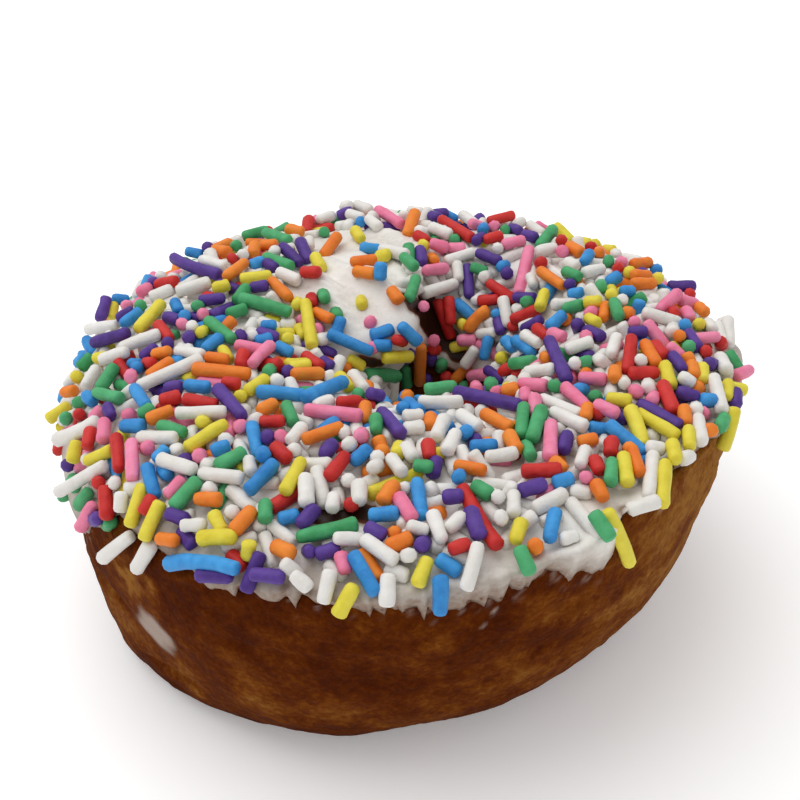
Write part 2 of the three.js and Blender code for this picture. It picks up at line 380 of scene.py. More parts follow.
def camera_axes():
    rise = math.radians(CAMERA_RISE)
    back = np.array([0.0, -math.cos(rise), math.sin(rise)])
    right = np.array([1.0, 0.0, 0.0])
    return right, np.cross(back, right), back


def camera_ray(pixel):
    """Start and direction of the ray through a pixel of the camera's view."""
    right, up, back = camera_axes()
    roll = math.radians(CAMERA_ROLL)
    over, down = np.asarray(pixel, dtype=float) - TARGET_PIXEL
    flat_over = math.cos(roll) * over - math.sin(roll) * down
    flat_down = math.sin(roll) * over + math.cos(roll) * down
    way = -back + right * flat_over / FOCAL_PIXELS - up * flat_down / FOCAL_PIXELS
    return TARGET + back * CAMERA_DISTANCE, way / np.linalg.norm(way)


def pixel_of(points):
    """Pixels where points are seen, and how far they are along the view."""
    right, up, back = camera_axes()
    away = points - TARGET
    depth = CAMERA_DISTANCE - away @ back
    over, down = away @ right / depth * FOCAL_PIXELS, -(away @ up) / depth * FOCAL_PIXELS
    roll = math.radians(CAMERA_ROLL)
    turned = np.stack([
        math.cos(roll) * over + math.sin(roll) * down,
        math.cos(roll) * down - math.sin(roll) * over,
    ], -1)
    return turned + TARGET_PIXEL, depth


def in_view(points):
    """Points as seen: pixels over and down, and depth."""
    pixels, depth = pixel_of(points)
    return np.concatenate([pixels, depth[:, None]], 1)


EDGE_BEARINGS = np.arange(0, 360, 0.1)
EDGE_TABLE = edge_table()
EVEN_REACH = 121
EVEN_EDGE_TABLE = evened(EDGE_TABLE, EVEN_REACH)
PLACED_FOLDS = on_dough(FOLDS, *TOP_ANGLES)


# ---------------------------------------------------------------- small tools
LATTICE_TURNS = (127.1, 311.7, 74.7)
LATTICE_SEED_TURN = 53.3
LATTICE_STRETCH = 43758.5453


def lattice(cell, seed):
    """A chance value from 0 to 1 for each cell, the same every time."""
    turned = sum(cell[..., axis] * turn for axis, turn in enumerate(LATTICE_TURNS))
    mixed = np.sin(turned + seed * LATTICE_SEED_TURN) * LATTICE_STRETCH
    return mixed - np.floor(mixed)


def unevenness(point, size, seed):
    """Smooth noise from -1 to 1 with bumps of the given size in millimetres."""
    scaled = point / size
    cell = np.floor(scaled)
    part = smooth(scaled - cell)
    total = 0.0
    for corner in np.ndindex(2, 2, 2):
        corner = np.array(corner)
        weight = np.prod(np.where(corner == 1, part, 1 - part), -1)
        total = total + weight * lattice(cell + corner, seed)
    return 2.0 * total - 1.0


def deselect():
    if bpy.context.object and bpy.context.object.mode != "OBJECT":
        bpy.ops.object.mode_set(mode="OBJECT")
    bpy.ops.object.select_all(action="DESELECT")


# Each piece rides on the one body there is, in place of its solid.
def finish_piece(piece, name, slot, *stands_for):
    piece.name = name
    piece.data.name = name
    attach(piece, "root")
    if stands_for:
        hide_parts(*stands_for)
    return piece


def read(items, name, size, kind=float):
    """A value of every vertex or face, one row for each."""
    flat = np.empty(len(items) * size, dtype=kind)
    items.foreach_get(name, flat)
    return flat.reshape(-1, size)


def coordinates(mesh):
    return read(mesh.vertices, "co", 3)


def set_coordinates(mesh, points):
    mesh.vertices.foreach_set("co", np.asarray(points, dtype=np.float32).ravel())
    mesh.update()


def set_values(mesh, name, values):
    attribute = mesh.attributes.new(name, "FLOAT", "POINT")
    attribute.data.foreach_set("value", np.asarray(values, dtype=np.float32))


TORUS_RADIUS = 2.0
TORUS_THICKNESS = 1.0


def ring_of_faces(major, minor, cuts):
    """A torus, subdivided, with each vertex's bearing and its turn round the section, in degrees."""
    deselect()
    bpy.ops.mesh.primitive_torus_add(
        major_segments=major, minor_segments=minor,
        major_radius=TORUS_RADIUS, minor_radius=TORUS_THICKNESS, location=(0, 0, 0))
    torus = bpy.context.object
    bpy.ops.object.mode_set(mode="EDIT")
    bpy.ops.mesh.select_all(action="SELECT")
    bpy.ops.mesh.subdivide(number_cuts=cuts)
    bpy.ops.object.mode_set(mode="OBJECT")
    points = coordinates(torus.data)
    around = np.arctan2(points[:, 1], points[:, 0])
    turn = np.degrees(np.arctan2(points[:, 2], np.hypot(points[:, 0], points[:, 1]) - TORUS_RADIUS))
    return torus, around, turn


# ---------------------------------------------------------------- crust
# Steps of the section from a torus's even turns: most of them go to the side that shows.
CRUST_GRID = (160, 66, 2)
CRUST_TURNS = [-90, 72, 108, 180, 270]
CRUST_ANGLES = [-90, 12, 160, 270, 300]
CREASES = [
    # (bearing, height, half length, half width, depth), degrees and millimetres
    (212, 15.5, 5.0, 0.8, 0.8),
    (226, 7.0, 5.5, 0.8, 0.7),
    (250, 21.0, 9.0, 0.9, 0.35),
    (285, 18.0, 10.0, 0.8, 0.3),
    (320, 12.0, 8.0, 0.8, 0.3),
    (40, 14.0, 9.0, 0.9, 0.5),
    (95, 10.0, 8.0, 0.9, 0.5),
    (150, 16.0, 9.0, 0.9, 0.5),
]
CREASE_SLOPE = 0.05
CREASE_WANDER = 0.6
CREASE_WANDER_SIZE = 4.0
# Bumps of the crust: (height, size, seed).
CRUST_BUMPS = [(0.45, 9.0, 1), (0.22, 3.6, 2), (0.10, 1.5, 3), (0.05, 0.8, 4)]
CRUMPLE_BAND = 9.0
CRUMPLE = 0.35
CRUMPLE_SIZE = 1.3
HIGHEST_BUMP = 0.9
FLAT_FOOT = 2.5
UNDER_ICING = 0.3
# Where the icing covers the crust, as shares of the icing's width, and how soon it does.
COVERED = (0.006, 0.99)
COVERED_RAMPS = (0.02, 0.03)
SMEARS = [
    # (first pixel, last pixel, half width in millimetres)
    ((153, 627), (161, 635), 1.75),
    ((149, 631), (157, 639), 1.75),
    ((493, 612), (494, 613), 0.22),
    ((481, 624), (482, 625), 0.18),
]
MM_PER_DEGREE_BELOW = 0.4
SMEAR_RAGGED = 0.45
SMEAR_RAGGED_SIZE = 1.6
# Sides painted lighter, a painted sheen of grazing light: (bearing, width, by); paler patches: (first pixel,
# last pixel, reach, by).
PAINTED_SHEEN_SIDES = [(338, 34, 0.32), (200, 22, 0.06), (90, 60, 0.12)]
PALE_PATCHES = [((122, 578), (140, 584), 2.6, 0.2), ((150, 588), (160, 596), 2.0, 0.12)]
PALE_PATCH_SIZE = 1.4
# How much of the painted sheen is left low down, and the heights over which it rises; then a band a little
# lighter at mid height, darker above and below.
PALE_LOW = 0.3
PALE_FROM = 6
PALE_RISE = 20
PALE_BELLY = 0.05
BELLY_HEIGHT = 11.0
BELLY_REACH = 6.0
# Painted shade that darkens the foot, and the height over which it fades.
PAINTED_FOOT_SHADE = 0.07
FOOT_HEIGHT = 5
FLAKE_BAND = 1.6
FLAKE_SIZE = 0.7
FLAKES_FROM = 0.25
FLAKES_RAMP = 0.3
FLAKES = 0.4


def crust_relief(point, around, angle):
    """How far the crust stands out from the plain dough: bumps and creases, and lower under the icing."""
    relief = sum(height * unevenness(point, size, seed) for height, size, seed in CRUST_BUMPS)
    under_edge = np.exp(-((angle - icing_edge(around) + CRUMPLE_BAND) / CRUMPLE_BAND) ** 2)
    relief = relief + under_edge * CRUMPLE * np.abs(unevenness(point, CRUMPLE_SIZE, 5))
    wander = CREASE_WANDER * unevenness(point, CREASE_WANDER_SIZE, 6)
    for bearing, height, half_length, half_width, depth in CREASES:
        along = turned_from(around, bearing) * WIDEST_RADIUS
        across = point[:, 2] - height - CREASE_SLOPE * along - wander
        groove = np.exp(-((across / half_width) ** 2) - (along / half_length) ** 4)
        relief = relief - depth * groove
    base = smooth(point[:, 2] / FLAT_FOOT)
    share = icing_share(around, angle)
    hidden = smooth((share - COVERED[0]) / COVERED_RAMPS[0])
    hidden = hidden * smooth((COVERED[1] - share) / COVERED_RAMPS[1])
    shown = np.minimum(relief * base, HIGHEST_BUMP) * (1 - hidden)
    return shown - (UNDER_ICING + pile_inset(share, point)) * hidden


def crust_tone_and_painted_light(point, around):
    """How much lighter the crust is painted: a painted sheen paler high up at the sides, a band at mid
    height, paler patches, and painted shade darker at the foot.
    """
    height = smooth((point[:, 2] - PALE_FROM) / PALE_RISE)
    tone_and_painted_light = sum(by * hump(around, bearing, width) for bearing, width, by in PAINTED_SHEEN_SIDES)
    tone_and_painted_light = tone_and_painted_light * (PALE_LOW + (1 - PALE_LOW) * height)
    tone_and_painted_light = tone_and_painted_light + PALE_BELLY * (2 * np.exp(-((point[:, 2] - BELLY_HEIGHT) / BELLY_REACH) ** 2) - 1)
    for start, end, reach, by in on_dough(PALE_PATCHES, *SIDE_ANGLES):
        patch = np.exp(-((beside(point, start, end) / reach) ** 2))
        tone_and_painted_light = tone_and_painted_light + by * patch * (1 + unevenness(point, PALE_PATCH_SIZE, 33))
    return tone_and_painted_light - PAINTED_FOOT_SHADE * (1 - smooth(point[:, 2] / FOOT_HEIGHT))


def crust_smear(point, around, angle):
    """Where thin icing has run onto the crust: one streak, two spots and flakes under the edge."""
    smear = 0.0 * around
    for start, end, width in on_dough(SMEARS, *SIDE_ANGLES):
        ragged = width * (1 + SMEAR_RAGGED * unevenness(point, SMEAR_RAGGED_SIZE, 31))
        smear = np.maximum(smear, smooth(1.5 - beside(point, start, end) / ragged))
    below = (icing_edge(around) - angle) * MM_PER_DEGREE_BELOW
    flakes = smooth((unevenness(point, FLAKE_SIZE, 32) - FLAKES_FROM) / FLAKES_RAMP)
    flakes = smooth(1 - below / FLAKE_BAND) * flakes
    return np.maximum(smear, FLAKES * flakes * (below > 0))


def make_crust():
    crust, around, turn = ring_of_faces(*CRUST_GRID)
    turn = np.where(turn < -90, turn + 360, turn)
    angle = np.interp(turn, CRUST_TURNS, CRUST_ANGLES)
    point = dough_point(around, angle)
    relief = crust_relief(point, around, angle)
    point = point + dough_normal(around, angle) * relief[:, None]
    point[:, 2] = np.maximum(point[:, 2], 0.0)
    set_coordinates(crust.data, point * MM)
    set_values(crust.data, "smear", crust_smear(point, around, angle))
    # Painted sheen on the sides and painted shade at the foot, with the crust's paler patches.
    set_values(crust.data, "tone_and_painted_light", crust_tone_and_painted_light(point, around))
    bpy.ops.object.shade_smooth()
    return finish_piece(crust, "crust", "dough", "dough")


# ---------------------------------------------------------------- icing
ICING_GRID = (320, 30, 2)
ICING_THICKNESS = 1.15
RIM_FILM = 0.22
RIM_FILM_END = 0.008
RIM_RAMP = 0.06
MM_PER_DEGREE = 0.17
# Spots painted dark: the crust's brown at their rims and near-black painted shadow in their middles. They
# lie in the deep slit beside the tongue, the groove under it and a hollow at the front.
PAINTED_SHADOW_SPOTS = [
    # (first pixel, last pixel, reach in millimetres)
    ((308, 510), (362, 508), 1.7),
    ((426, 308), (446, 338), 2.0),
    ((432, 302), (442, 330), 2.0),
    ((444, 326), (458, 354), 1.3),
    ((408, 303), (424, 312), 1.8),
    ((363, 361), (382, 365), 0.7),
]
SHADOW_SPOT_RAMP = 0.8
# Waves of the icing's thickness: (share, size, seed), and the least and most of them.
ICING_WAVES = [(0.22, 7.0, 21), (0.08, 2.6, 22)]
ICING_WAVE_LIMITS = (-0.4, 0.6)
ICING_UNDERSIDE = 0.1
EDGE_BLEND = 0.06
# Width in millimetres of the tinted band above the icing's lower edge: partly thin icing over the crust,
# partly painted shade on the front face that turns from the light. Then how ragged it is and where it
# narrows.
FILM_AND_SHADE_WIDTH = 3.5
FILM_RAGGED = 0.4
FILM_RAGGED_SIZE = 9.0
NARROW_FILM = 0.75
NARROW_FILM_AT = (300, 18)
# Painted shade in the valleys between the folds on the bare icing, and the fold height at which it is gone.
VALLEY_PAINTED_SHADE = 0.22
VALLEY_FOLD = 0.5
# Lumps behind the front rim: (bearing, share, width in degrees, reach in share, height).
ICING_LUMPS = [(297, 0.05, 6, 0.05, 0.5), (288, 0.04, 7, 0.05, 0.4), (262, 0.05, 8, 0.05, 0.2)]


def icing_thickness(around, share):
    """Thin at the rim, then full, with a few lumps behind the front rim."""
    end = np.clip(np.minimum(share, 1 - share) / RIM_FILM_END, 0, 1)
    film = RIM_FILM * np.sqrt(np.clip(1 - (1 - end) ** 2, 0, 1))
    full = ICING_THICKNESS - RIM_FILM
    for bearing, at, width, reach, by in ICING_LUMPS:
        full = full + by * hump(around, bearing, width) * np.exp(-((share - at) / reach) ** 2)
    return film + full * smooth(np.minimum(share, 1 - share) / RIM_RAMP + 0.1) * end


def painted_shadow_spots(point):
    """1 where the icing is painted dark: the crust's brown shows at the rims, painted shadow in the middles.
    """
    thin = 0.0 * point[..., 0]
    for start, end, reach in on_dough(PAINTED_SHADOW_SPOTS, *TOP_ANGLES):
        thin = np.maximum(thin, smooth((reach - beside(point, start, end)) / SHADOW_SPOT_RAMP + 0.5))
    return thin


def make_icing():
    icing, around, turn = ring_of_faces(*ICING_GRID)
    turn = np.mod(turn, 360)
    outer = turn <= 180
    share = np.where(outer, turn, 360 - turn) / 180.0
    share = 0.25 + 0.5 * share - 0.25 * np.cos(math.pi * share)
    edge = icing_edge(around)
    even = even_edge(around)
    angle = edge + (even - edge) * smooth(share / EDGE_BLEND) + (ICING_INNER_EDGE - even) * share
    point = dough_point(around, angle)
    normal = dough_normal(around, angle)
    waves = sum(by * unevenness(point, size, seed) for by, size, seed in ICING_WAVES)
    thick = icing_thickness(around, share) * (1 + np.clip(waves, *ICING_WAVE_LIMITS)) + swelling(point)
    away = np.where(outer, ICING_CLEARANCE + thick, ICING_CLEARANCE - ICING_UNDERSIDE)
    away = away - pile_inset(share, point)
    point = point + normal * away[:, None]
    set_coordinates(icing.data, point * MM)
    # The tint near the lower edge: thin icing at the edge, and painted shade over the front face above it.
    wide = FILM_AND_SHADE_WIDTH * (1 + FILM_RAGGED * unevenness(point * np.array([1, 1, 0]), FILM_RAGGED_SIZE, 23))
    wide = wide * (1 - NARROW_FILM * hump(around, *NARROW_FILM_AT))
    film = np.exp(-(((angle - edge) * MM_PER_DEGREE / wide) ** 2)) * np.where(share < 0.5, 1, 0)
    # Painted shade in the valleys of the bare icing, away from its folds.
    film = film + VALLEY_PAINTED_SHADE * bareness(point) * (1 - smooth(swelling(point) / VALLEY_FOLD))
    # The dark spots count twice, so their middles reach the near-black painted shadow.
    set_values(icing.data, "film", np.maximum(film, 2 * painted_shadow_spots(point)))
    bpy.ops.object.shade_smooth()
    return finish_piece(icing, "icing", "frosting", "frosting"), outer


# ---------------------------------------------------------------- camera
def make_camera():
    right, up, back = camera_axes()
    data = bpy.data.cameras.new("camera")
    data.sensor_width = SENSOR
    data.lens = SENSOR * FOCAL_PIXELS / IMAGE_SIDE
    data.shift_x = (IMAGE_SIDE / 2 - TARGET_PIXEL[0]) / IMAGE_SIDE
    data.shift_y = (TARGET_PIXEL[1] - IMAGE_SIDE / 2) / IMAGE_SIDE
    data.clip_start = 0.01
    data.clip_end = 20.0
    camera = bpy.data.objects.new("camera", data)
    bpy.context.scene.collection.objects.link(camera)
    axes = Matrix([list(right), list(up), list(back)]).transposed().to_4x4()
    camera.matrix_world = (
        Matrix.Translation(Vector((TARGET + back * CAMERA_DISTANCE) * MM))
        @ axes @ Matrix.Rotation(-math.radians(CAMERA_ROLL), 4, "Z"))
    bpy.context.scene.camera = camera


# ---------------------------------------------------------------- sugar rods
COLOURS = ["white", "pink", "red", "orange", "yellow", "green", "blue", "purple"]
COLOUR_SHARES = [0.24, 0.11, 0.085, 0.13, 0.12, 0.095, 0.11, 0.11]
ROD_COUNT = 1350
ROD_RADIUS = 0.82
ROD_SIDES = 9
ROD_LENGTH = 3.2
# Strewn rods: how their size, tilt in degrees, height in the pile and depth in the ground vary.
LENGTH_SPREAD = 0.33
LENGTH_LIMITS = (1.9, 8.0)
STREWN_RADII = (0.9, 1.08)
LYING = 0.5
LEANING = 0.85
LYING_TILT = 6
LEANING_TILTS = (8, 32)
STEEP_TILTS = (32, 75)
LONG_ROD = 5.0
LONG_ROD_TILT = 0.3
CORE_END = 0.9
PILE_HEIGHT = 2.4
LOWER_AT_FRONT = 1.9
STREWN_SUNK = (0.15, 0.75)
WHITE_AT_FRONT = 0.35
# Fewer strewn rods where the front shows.
OPEN_FRONT = 0.85
OPEN_FRONT_SHARE = 0.16
OPEN_FRONT_RAMP = 0.05
FRONT_RAMP = 0.3
FRONT_THINNED = 0.45
# Placed rods: size, depth, steepness, and how far settling may move them, in millimetres.
PLACED_RADII = (0.93, 1.05)
THICK_ROD = 1.12
SHORTEST_LYING = 2.5
END_ON_CORE = 1.1
STEEPEST = 1.1
LOW_ROD_DEPTH = 0.8
SUNK_SHARE = 0.6
SUNK_DISC_SHARE = 1.4
PLACED_FREEDOM = 0.04
PLACED_SIDEWAYS = 0.2
PLACED_RAISE = 0.9
PLACED_SINK = 2.4
# Settling: how often neighbours are sought, and how hard rods part, sink and stack.
SETTLE_ROUNDS = 70
ROUNDS_PER_SEARCH = 7
SEARCH_REACH = 1.5
PART_STRENGTH = 0.9
PART_SHARE = 0.6
SINK = 0.12
STACK_HEIGHT = 0.9
STACK_WIDTH = 0.85
STACK_DOWN = 0.34
STACK_UP = 0.12
# Strewn rods that are left out, and gaps in the pile: (first pixel, last pixel, reach in pixels).
HIGHEST_ROD = 2.6
LOWEST_SHARE = 0.02
FRONT_LOWEST_SHARE = 0.07
FRONT_FACING = 0.25
BAREST = 0.5
SHADOW_SPOT_LIMIT = 0.3
IN_FRONT = 0.1
OVER_IN_VIEW = 0.7
DEEPEST_CROSSING = 0.3
GAPS = [((408, 306), (430, 318), 9), ((428, 302), (440, 318), 11), ((430, 318), (444, 336), 13),
        ((444, 336), (458, 356), 14), ((424, 320), (429, 342), 9), ((304, 514), (362, 512), 10),
        ((440, 582), (600, 550), 22), ((240, 578), (420, 594), 14)]
# Rods that hang in the air: what counts as touching, and the steps that let them down.
TOUCH_DEPTH = 0.06
LET_DOWN = 0.08
LET_DOWN_INWARDS = 0.7
LET_DOWN_STEPS = 24
CARRY_ROUNDS = 40
CARRY_REACH = 0.5
# The model rod's bevel, tips and bands, in radii, and how single rods differ from it.
ROD_BEVEL = 0.55
ROD_TIP = 0.45
ROD_BANDS = (-0.2, 0.2)
BEND_MIDDLE = 0.4
BENT_SHARE = 0.35
BEND = 0.06
TAPER = 0.09
WAIST = 0.07
WAIST_TURNS = 5.0
WAIST_PHASE = 6.28
OVAL = 0.07

# Rods that show, by the pixels of their tips in the camera's view. A fifth number marks 1 lower, 2 thicker
# or 3 sunk into the icing.
PLACED_RODS = {
    "white": [
        (99, 561, 134, 533), (134, 573, 153, 541), (282, 561, 303, 574), (294, 571, 309, 590),
        (331, 569, 323, 604), (362, 537, 397, 563), (391, 573, 386, 607), (405, 547, 411, 564),
        (478, 543, 465, 591), (56, 494, 108, 465), (111, 482, 122, 483), (159, 458, 199, 470),
        (124, 491, 120, 512), (180, 527, 206, 524), (199, 474, 244, 479), (249, 455, 251, 476),
        (308, 474, 306, 507, 2), (340, 479, 357, 481), (334, 491, 332, 512), (229, 514, 238, 510, 1),
        (366, 468, 385, 469), (362, 480, 358, 506, 2), (464, 515, 447, 533), (433, 512, 442, 545),
        (406, 526, 428, 532), (484, 459, 517, 454), (585, 446, 577, 469), (513, 490, 514, 517),
        (498, 491, 496, 506), (498, 511, 500, 526), (531, 512, 566, 491, 1), (566, 497, 604, 541, 1),
        (558, 536, 578, 531), (652, 452, 648, 500), (628, 511, 662, 501), (681, 458, 692, 457),
        (98, 365, 84, 388), (138, 388, 203, 360), (175, 415, 226, 413), (137, 440, 180, 438),
        (53, 443, 100, 422), (271, 381, 284, 381), (303, 423, 289, 445), (336, 438, 353, 430),
        (341, 446, 356, 444), (350, 372, 366, 393), (368, 382, 381, 382), (395, 379, 393, 406),
        (402, 418, 424, 416), (403, 430, 425, 428), (448, 414, 436, 441), (418, 404, 463, 401),
        (457, 412, 480, 431), (457, 430, 446, 457), (524, 373, 555, 370), (539, 399, 582, 417),
        (549, 411, 587, 429), (616, 383, 633, 384), (640, 387, 656, 387), (677, 380, 695, 381),
        (693, 402, 695, 416), (697, 413, 702, 446), (713, 374, 722, 413), (645, 449, 665, 447),
        (720, 372, 733, 376), (150, 299, 173, 289), (176, 292, 211, 282), (83, 329, 119, 323),
        (120, 350, 161, 335), (174, 352, 205, 357), (100, 362, 130, 352), (421, 294, 459, 284),
        (477, 336, 497, 330), (463, 367, 478, 347), (504, 297, 509, 326), (521, 333, 542, 345),
        (565, 352, 593, 342), (618, 334, 610, 359), (568, 363, 581, 366), (703, 320, 716, 334),
        (728, 318, 730, 347), (641, 313, 681, 325), (665, 330, 680, 331), (635, 360, 647, 361),
        (716, 352, 727, 375), (200, 260, 228, 269), (238, 254, 249, 254), (309, 236, 309, 251),
        (317, 222, 335, 213), (276, 271, 301, 281), (429, 227, 452, 236), (445, 262, 475, 252),
        (478, 278, 492, 276), (527, 223, 545, 234), (493, 248, 503, 248), (536, 254, 557, 247),
        (566, 256, 577, 268), (582, 275, 606, 269), (624, 251, 646, 256), (354, 202, 373, 211, 2),
        (339, 209, 354, 203, 2), (346, 212, 365, 217), (366, 217, 381, 229, 1), (388, 456, 404, 477),
        (370, 456, 385, 463), (404, 443, 416, 461), (398, 482, 412, 491, 1), (715, 322, 722, 346),
        (722, 319, 727, 344, 1), (727, 352, 733, 372, 1),
    ],
    "pink": [
        (338, 552, 346, 574), (131, 440, 133, 484), (141, 444, 156, 453), (184, 478, 166, 497),
        (94, 502, 79, 531), (191, 456, 208, 459), (396, 493, 413, 523), (578, 478, 592, 479),
        (551, 419, 550, 463), (88, 419, 99, 405), (124, 379, 141, 374), (118, 417, 135, 411),
        (107, 417, 102, 443), (232, 428, 248, 428), (277, 436, 286, 437), (303, 409, 362, 416),
        (353, 436, 369, 435), (466, 377, 488, 373), (477, 384, 478, 393), (490, 393, 501, 393, 1),
        (518, 384, 548, 387), (524, 388, 527, 405), (535, 395, 535, 419), (578, 378, 607, 380),
        (561, 386, 587, 409), (594, 404, 618, 417), (630, 388, 641, 398), (645, 400, 660, 398),
        (733, 377, 754, 368), (699, 410, 706, 416, 1), (122, 306, 133, 306), (137, 293, 152, 287),
        (178, 321, 187, 329), (195, 317, 210, 314), (315, 324, 321, 337, 1), (234, 346, 264, 352),
        (273, 344, 250, 368), (363, 322, 377, 322, 3), (420, 306, 429, 306), (458, 341, 478, 341),
        (427, 340, 441, 341), (369, 347, 380, 347), (530, 247, 519, 295), (549, 330, 565, 341),
        (585, 313, 598, 313), (628, 322, 641, 322), (580, 338, 593, 338), (680, 292, 657, 312),
        (678, 300, 700, 305), (684, 306, 692, 321), (693, 341, 718, 336), (668, 346, 681, 360),
        (375, 209, 405, 227), (430, 242, 448, 250), (446, 250, 465, 248), (421, 271, 448, 269),
        (489, 227, 499, 228), (502, 245, 526, 241), (558, 247, 566, 258), (615, 261, 628, 262),
    ],
    "red": [
        (448, 552, 470, 544), (117, 432, 119, 474), (153, 495, 143, 515), (105, 485, 108, 520),
        (94, 486, 107, 480, 1), (272, 446, 290, 463), (346, 453, 325, 480), (345, 498, 358, 511, 1),
        (461, 486, 500, 551), (521, 472, 562, 470), (592, 456, 602, 475), (71, 414, 86, 415),
        (159, 402, 181, 397), (181, 400, 217, 402), (91, 427, 86, 450), (222, 383, 241, 387),
        (259, 421, 285, 422), (335, 402, 361, 400), (427, 440, 430, 461), (439, 378, 453, 377, 1),
        (592, 414, 606, 415), (612, 436, 610, 458), (628, 374, 659, 372), (661, 382, 677, 415),
        (154, 284, 179, 281), (157, 323, 173, 342), (145, 366, 155, 362, 1), (304, 300, 320, 301),
        (303, 353, 323, 368), (241, 349, 242, 368), (448, 296, 451, 325), (437, 299, 453, 338, 1),
        (477, 303, 498, 299), (427, 349, 442, 350, 1), (394, 340, 405, 341), (512, 320, 541, 308),
        (507, 330, 518, 325, 1), (533, 326, 550, 338), (632, 334, 627, 376), (667, 314, 681, 314),
        (716, 343, 725, 343), (705, 345, 706, 361, 1), (651, 343, 667, 360), (229, 254, 236, 264, 1),
        (309, 213, 305, 234), (300, 272, 321, 272), (438, 219, 473, 240), (415, 234, 429, 243, 1),
        (483, 240, 503, 236), (487, 222, 515, 216), (556, 241, 566, 242), (584, 245, 599, 246),
        (534, 264, 548, 264), (613, 267, 623, 269, 1), (682, 293, 696, 297, 1),
    ],
    "orange": [
        (272, 545, 297, 556), (386, 548, 413, 538), (527, 541, 543, 547), (194, 497, 222, 500),
        (155, 538, 180, 539), (254, 508, 233, 533, 2), (375, 450, 389, 452), (395, 482, 379, 504, 2),
        (454, 466, 488, 470), (387, 531, 405, 533, 1), (552, 458, 567, 470), (630, 447, 641, 478),
        (595, 480, 605, 501), (60, 392, 78, 391), (146, 377, 173, 361), (147, 421, 174, 410),
        (192, 369, 251, 375), (291, 374, 324, 373), (257, 413, 278, 404), (302, 441, 343, 427),
        (421, 344, 419, 386), (366, 401, 364, 423), (378, 437, 384, 459), (400, 395, 416, 393, 1),
        (431, 411, 430, 431), (482, 411, 513, 429), (453, 382, 469, 366), (501, 391, 519, 388),
        (588, 402, 585, 422), (577, 442, 598, 438), (505, 432, 519, 454), (615, 365, 614, 384),
        (622, 451, 637, 449), (683, 405, 686, 426), (689, 362, 696, 380), (691, 389, 704, 388, 1),
        (706, 430, 715, 430), (152, 356, 173, 351), (269, 280, 290, 301), (311, 310, 335, 321),
        (205, 358, 229, 362), (390, 286, 400, 303), (489, 309, 467, 331), (541, 359, 551, 359),
        (563, 321, 570, 317, 1), (621, 313, 634, 313), (630, 284, 656, 284), (696, 304, 708, 315),
        (674, 333, 685, 340), (642, 342, 658, 369), (686, 354, 694, 373), (211, 249, 231, 252),
        (256, 241, 252, 257), (259, 244, 278, 243), (285, 230, 304, 232, 1), (340, 232, 322, 260),
        (247, 262, 225, 280), (416, 210, 408, 238), (350, 262, 377, 260), (353, 271, 377, 274),
        (428, 260, 439, 259), (565, 245, 584, 254), (594, 250, 605, 254), (538, 271, 566, 289),
        (629, 266, 652, 263), (630, 277, 651, 276),
    ],
    "yellow": [
        (250, 540, 246, 561), (355, 584, 337, 617), (429, 556, 414, 585), (608, 508, 634, 566),
        (143, 484, 129, 528), (161, 501, 143, 541), (303, 459, 283, 496), (212, 511, 223, 533),
        (197, 538, 238, 538), (405, 441, 393, 459), (622, 453, 628, 487), (523, 518, 514, 544),
        (666, 459, 662, 507), (671, 439, 677, 465), (69, 404, 46, 420), (76, 373, 79, 382, 1),
        (76, 440, 71, 463), (83, 462, 113, 449), (228, 423, 186, 450), (195, 424, 212, 422, 1),
        (236, 391, 243, 403, 1), (269, 378, 243, 392), (290, 366, 312, 366), (339, 373, 351, 393),
        (440, 445, 437, 461, 1), (606, 398, 632, 402), (630, 407, 644, 447), (634, 412, 680, 438),
        (663, 363, 673, 391), (701, 364, 703, 385), (726, 378, 727, 401, 1), (731, 385, 747, 392),
        (736, 407, 723, 451), (688, 425, 690, 451), (663, 447, 680, 447), (113, 301, 110, 319),
        (164, 303, 137, 333), (195, 334, 210, 333), (93, 359, 109, 356), (212, 289, 230, 286),
        (291, 305, 303, 304), (305, 300, 314, 350), (280, 339, 295, 341), (221, 346, 231, 363, 1),
        (283, 364, 312, 365), (354, 302, 369, 304, 3), (463, 318, 463, 331), (382, 358, 414, 357),
        (547, 289, 540, 311), (495, 359, 509, 359), (584, 303, 603, 303), (605, 296, 618, 295),
        (584, 318, 601, 326, 1), (691, 324, 707, 325), (313, 253, 323, 272), (240, 281, 272, 276, 1),
        (353, 227, 363, 242), (375, 257, 391, 253), (419, 245, 429, 247, 1), (556, 218, 575, 236),
        (603, 246, 618, 246), (624, 275, 634, 273, 1), (652, 280, 664, 279),
    ],
    "green": [
        (518, 546, 531, 575), (172, 508, 201, 480), (91, 489, 75, 509, 1), (102, 524, 116, 523, 1),
        (215, 468, 246, 452), (265, 499, 265, 523), (413, 468, 433, 466), (473, 484, 491, 499),
        (612, 458, 610, 487), (592, 511, 610, 540), (296, 537, 358, 523), (70, 403, 84, 399, 1),
        (65, 412, 66, 425, 1), (116, 365, 98, 391), (92, 391, 124, 400), (140, 418, 155, 408, 1),
        (160, 424, 186, 436), (299, 386, 323, 385), (268, 365, 269, 378), (285, 402, 296, 427),
        (353, 390, 366, 398, 1), (408, 368, 410, 392), (375, 414, 376, 437), (425, 391, 456, 387),
        (460, 385, 470, 386, 1), (483, 389, 498, 380), (550, 388, 560, 388), (590, 392, 600, 400, 1),
        (524, 403, 521, 441), (543, 406, 531, 444), (523, 441, 534, 462, 1), (725, 413, 720, 434, 1),
        (731, 366, 739, 368, 1), (133, 303, 147, 307), (190, 306, 205, 306), (92, 355, 79, 369),
        (248, 285, 233, 302), (238, 299, 291, 314), (226, 316, 247, 309, 1), (318, 297, 330, 296),
        (330, 311, 343, 318), (206, 320, 234, 343), (417, 275, 408, 302), (435, 365, 448, 366, 1),
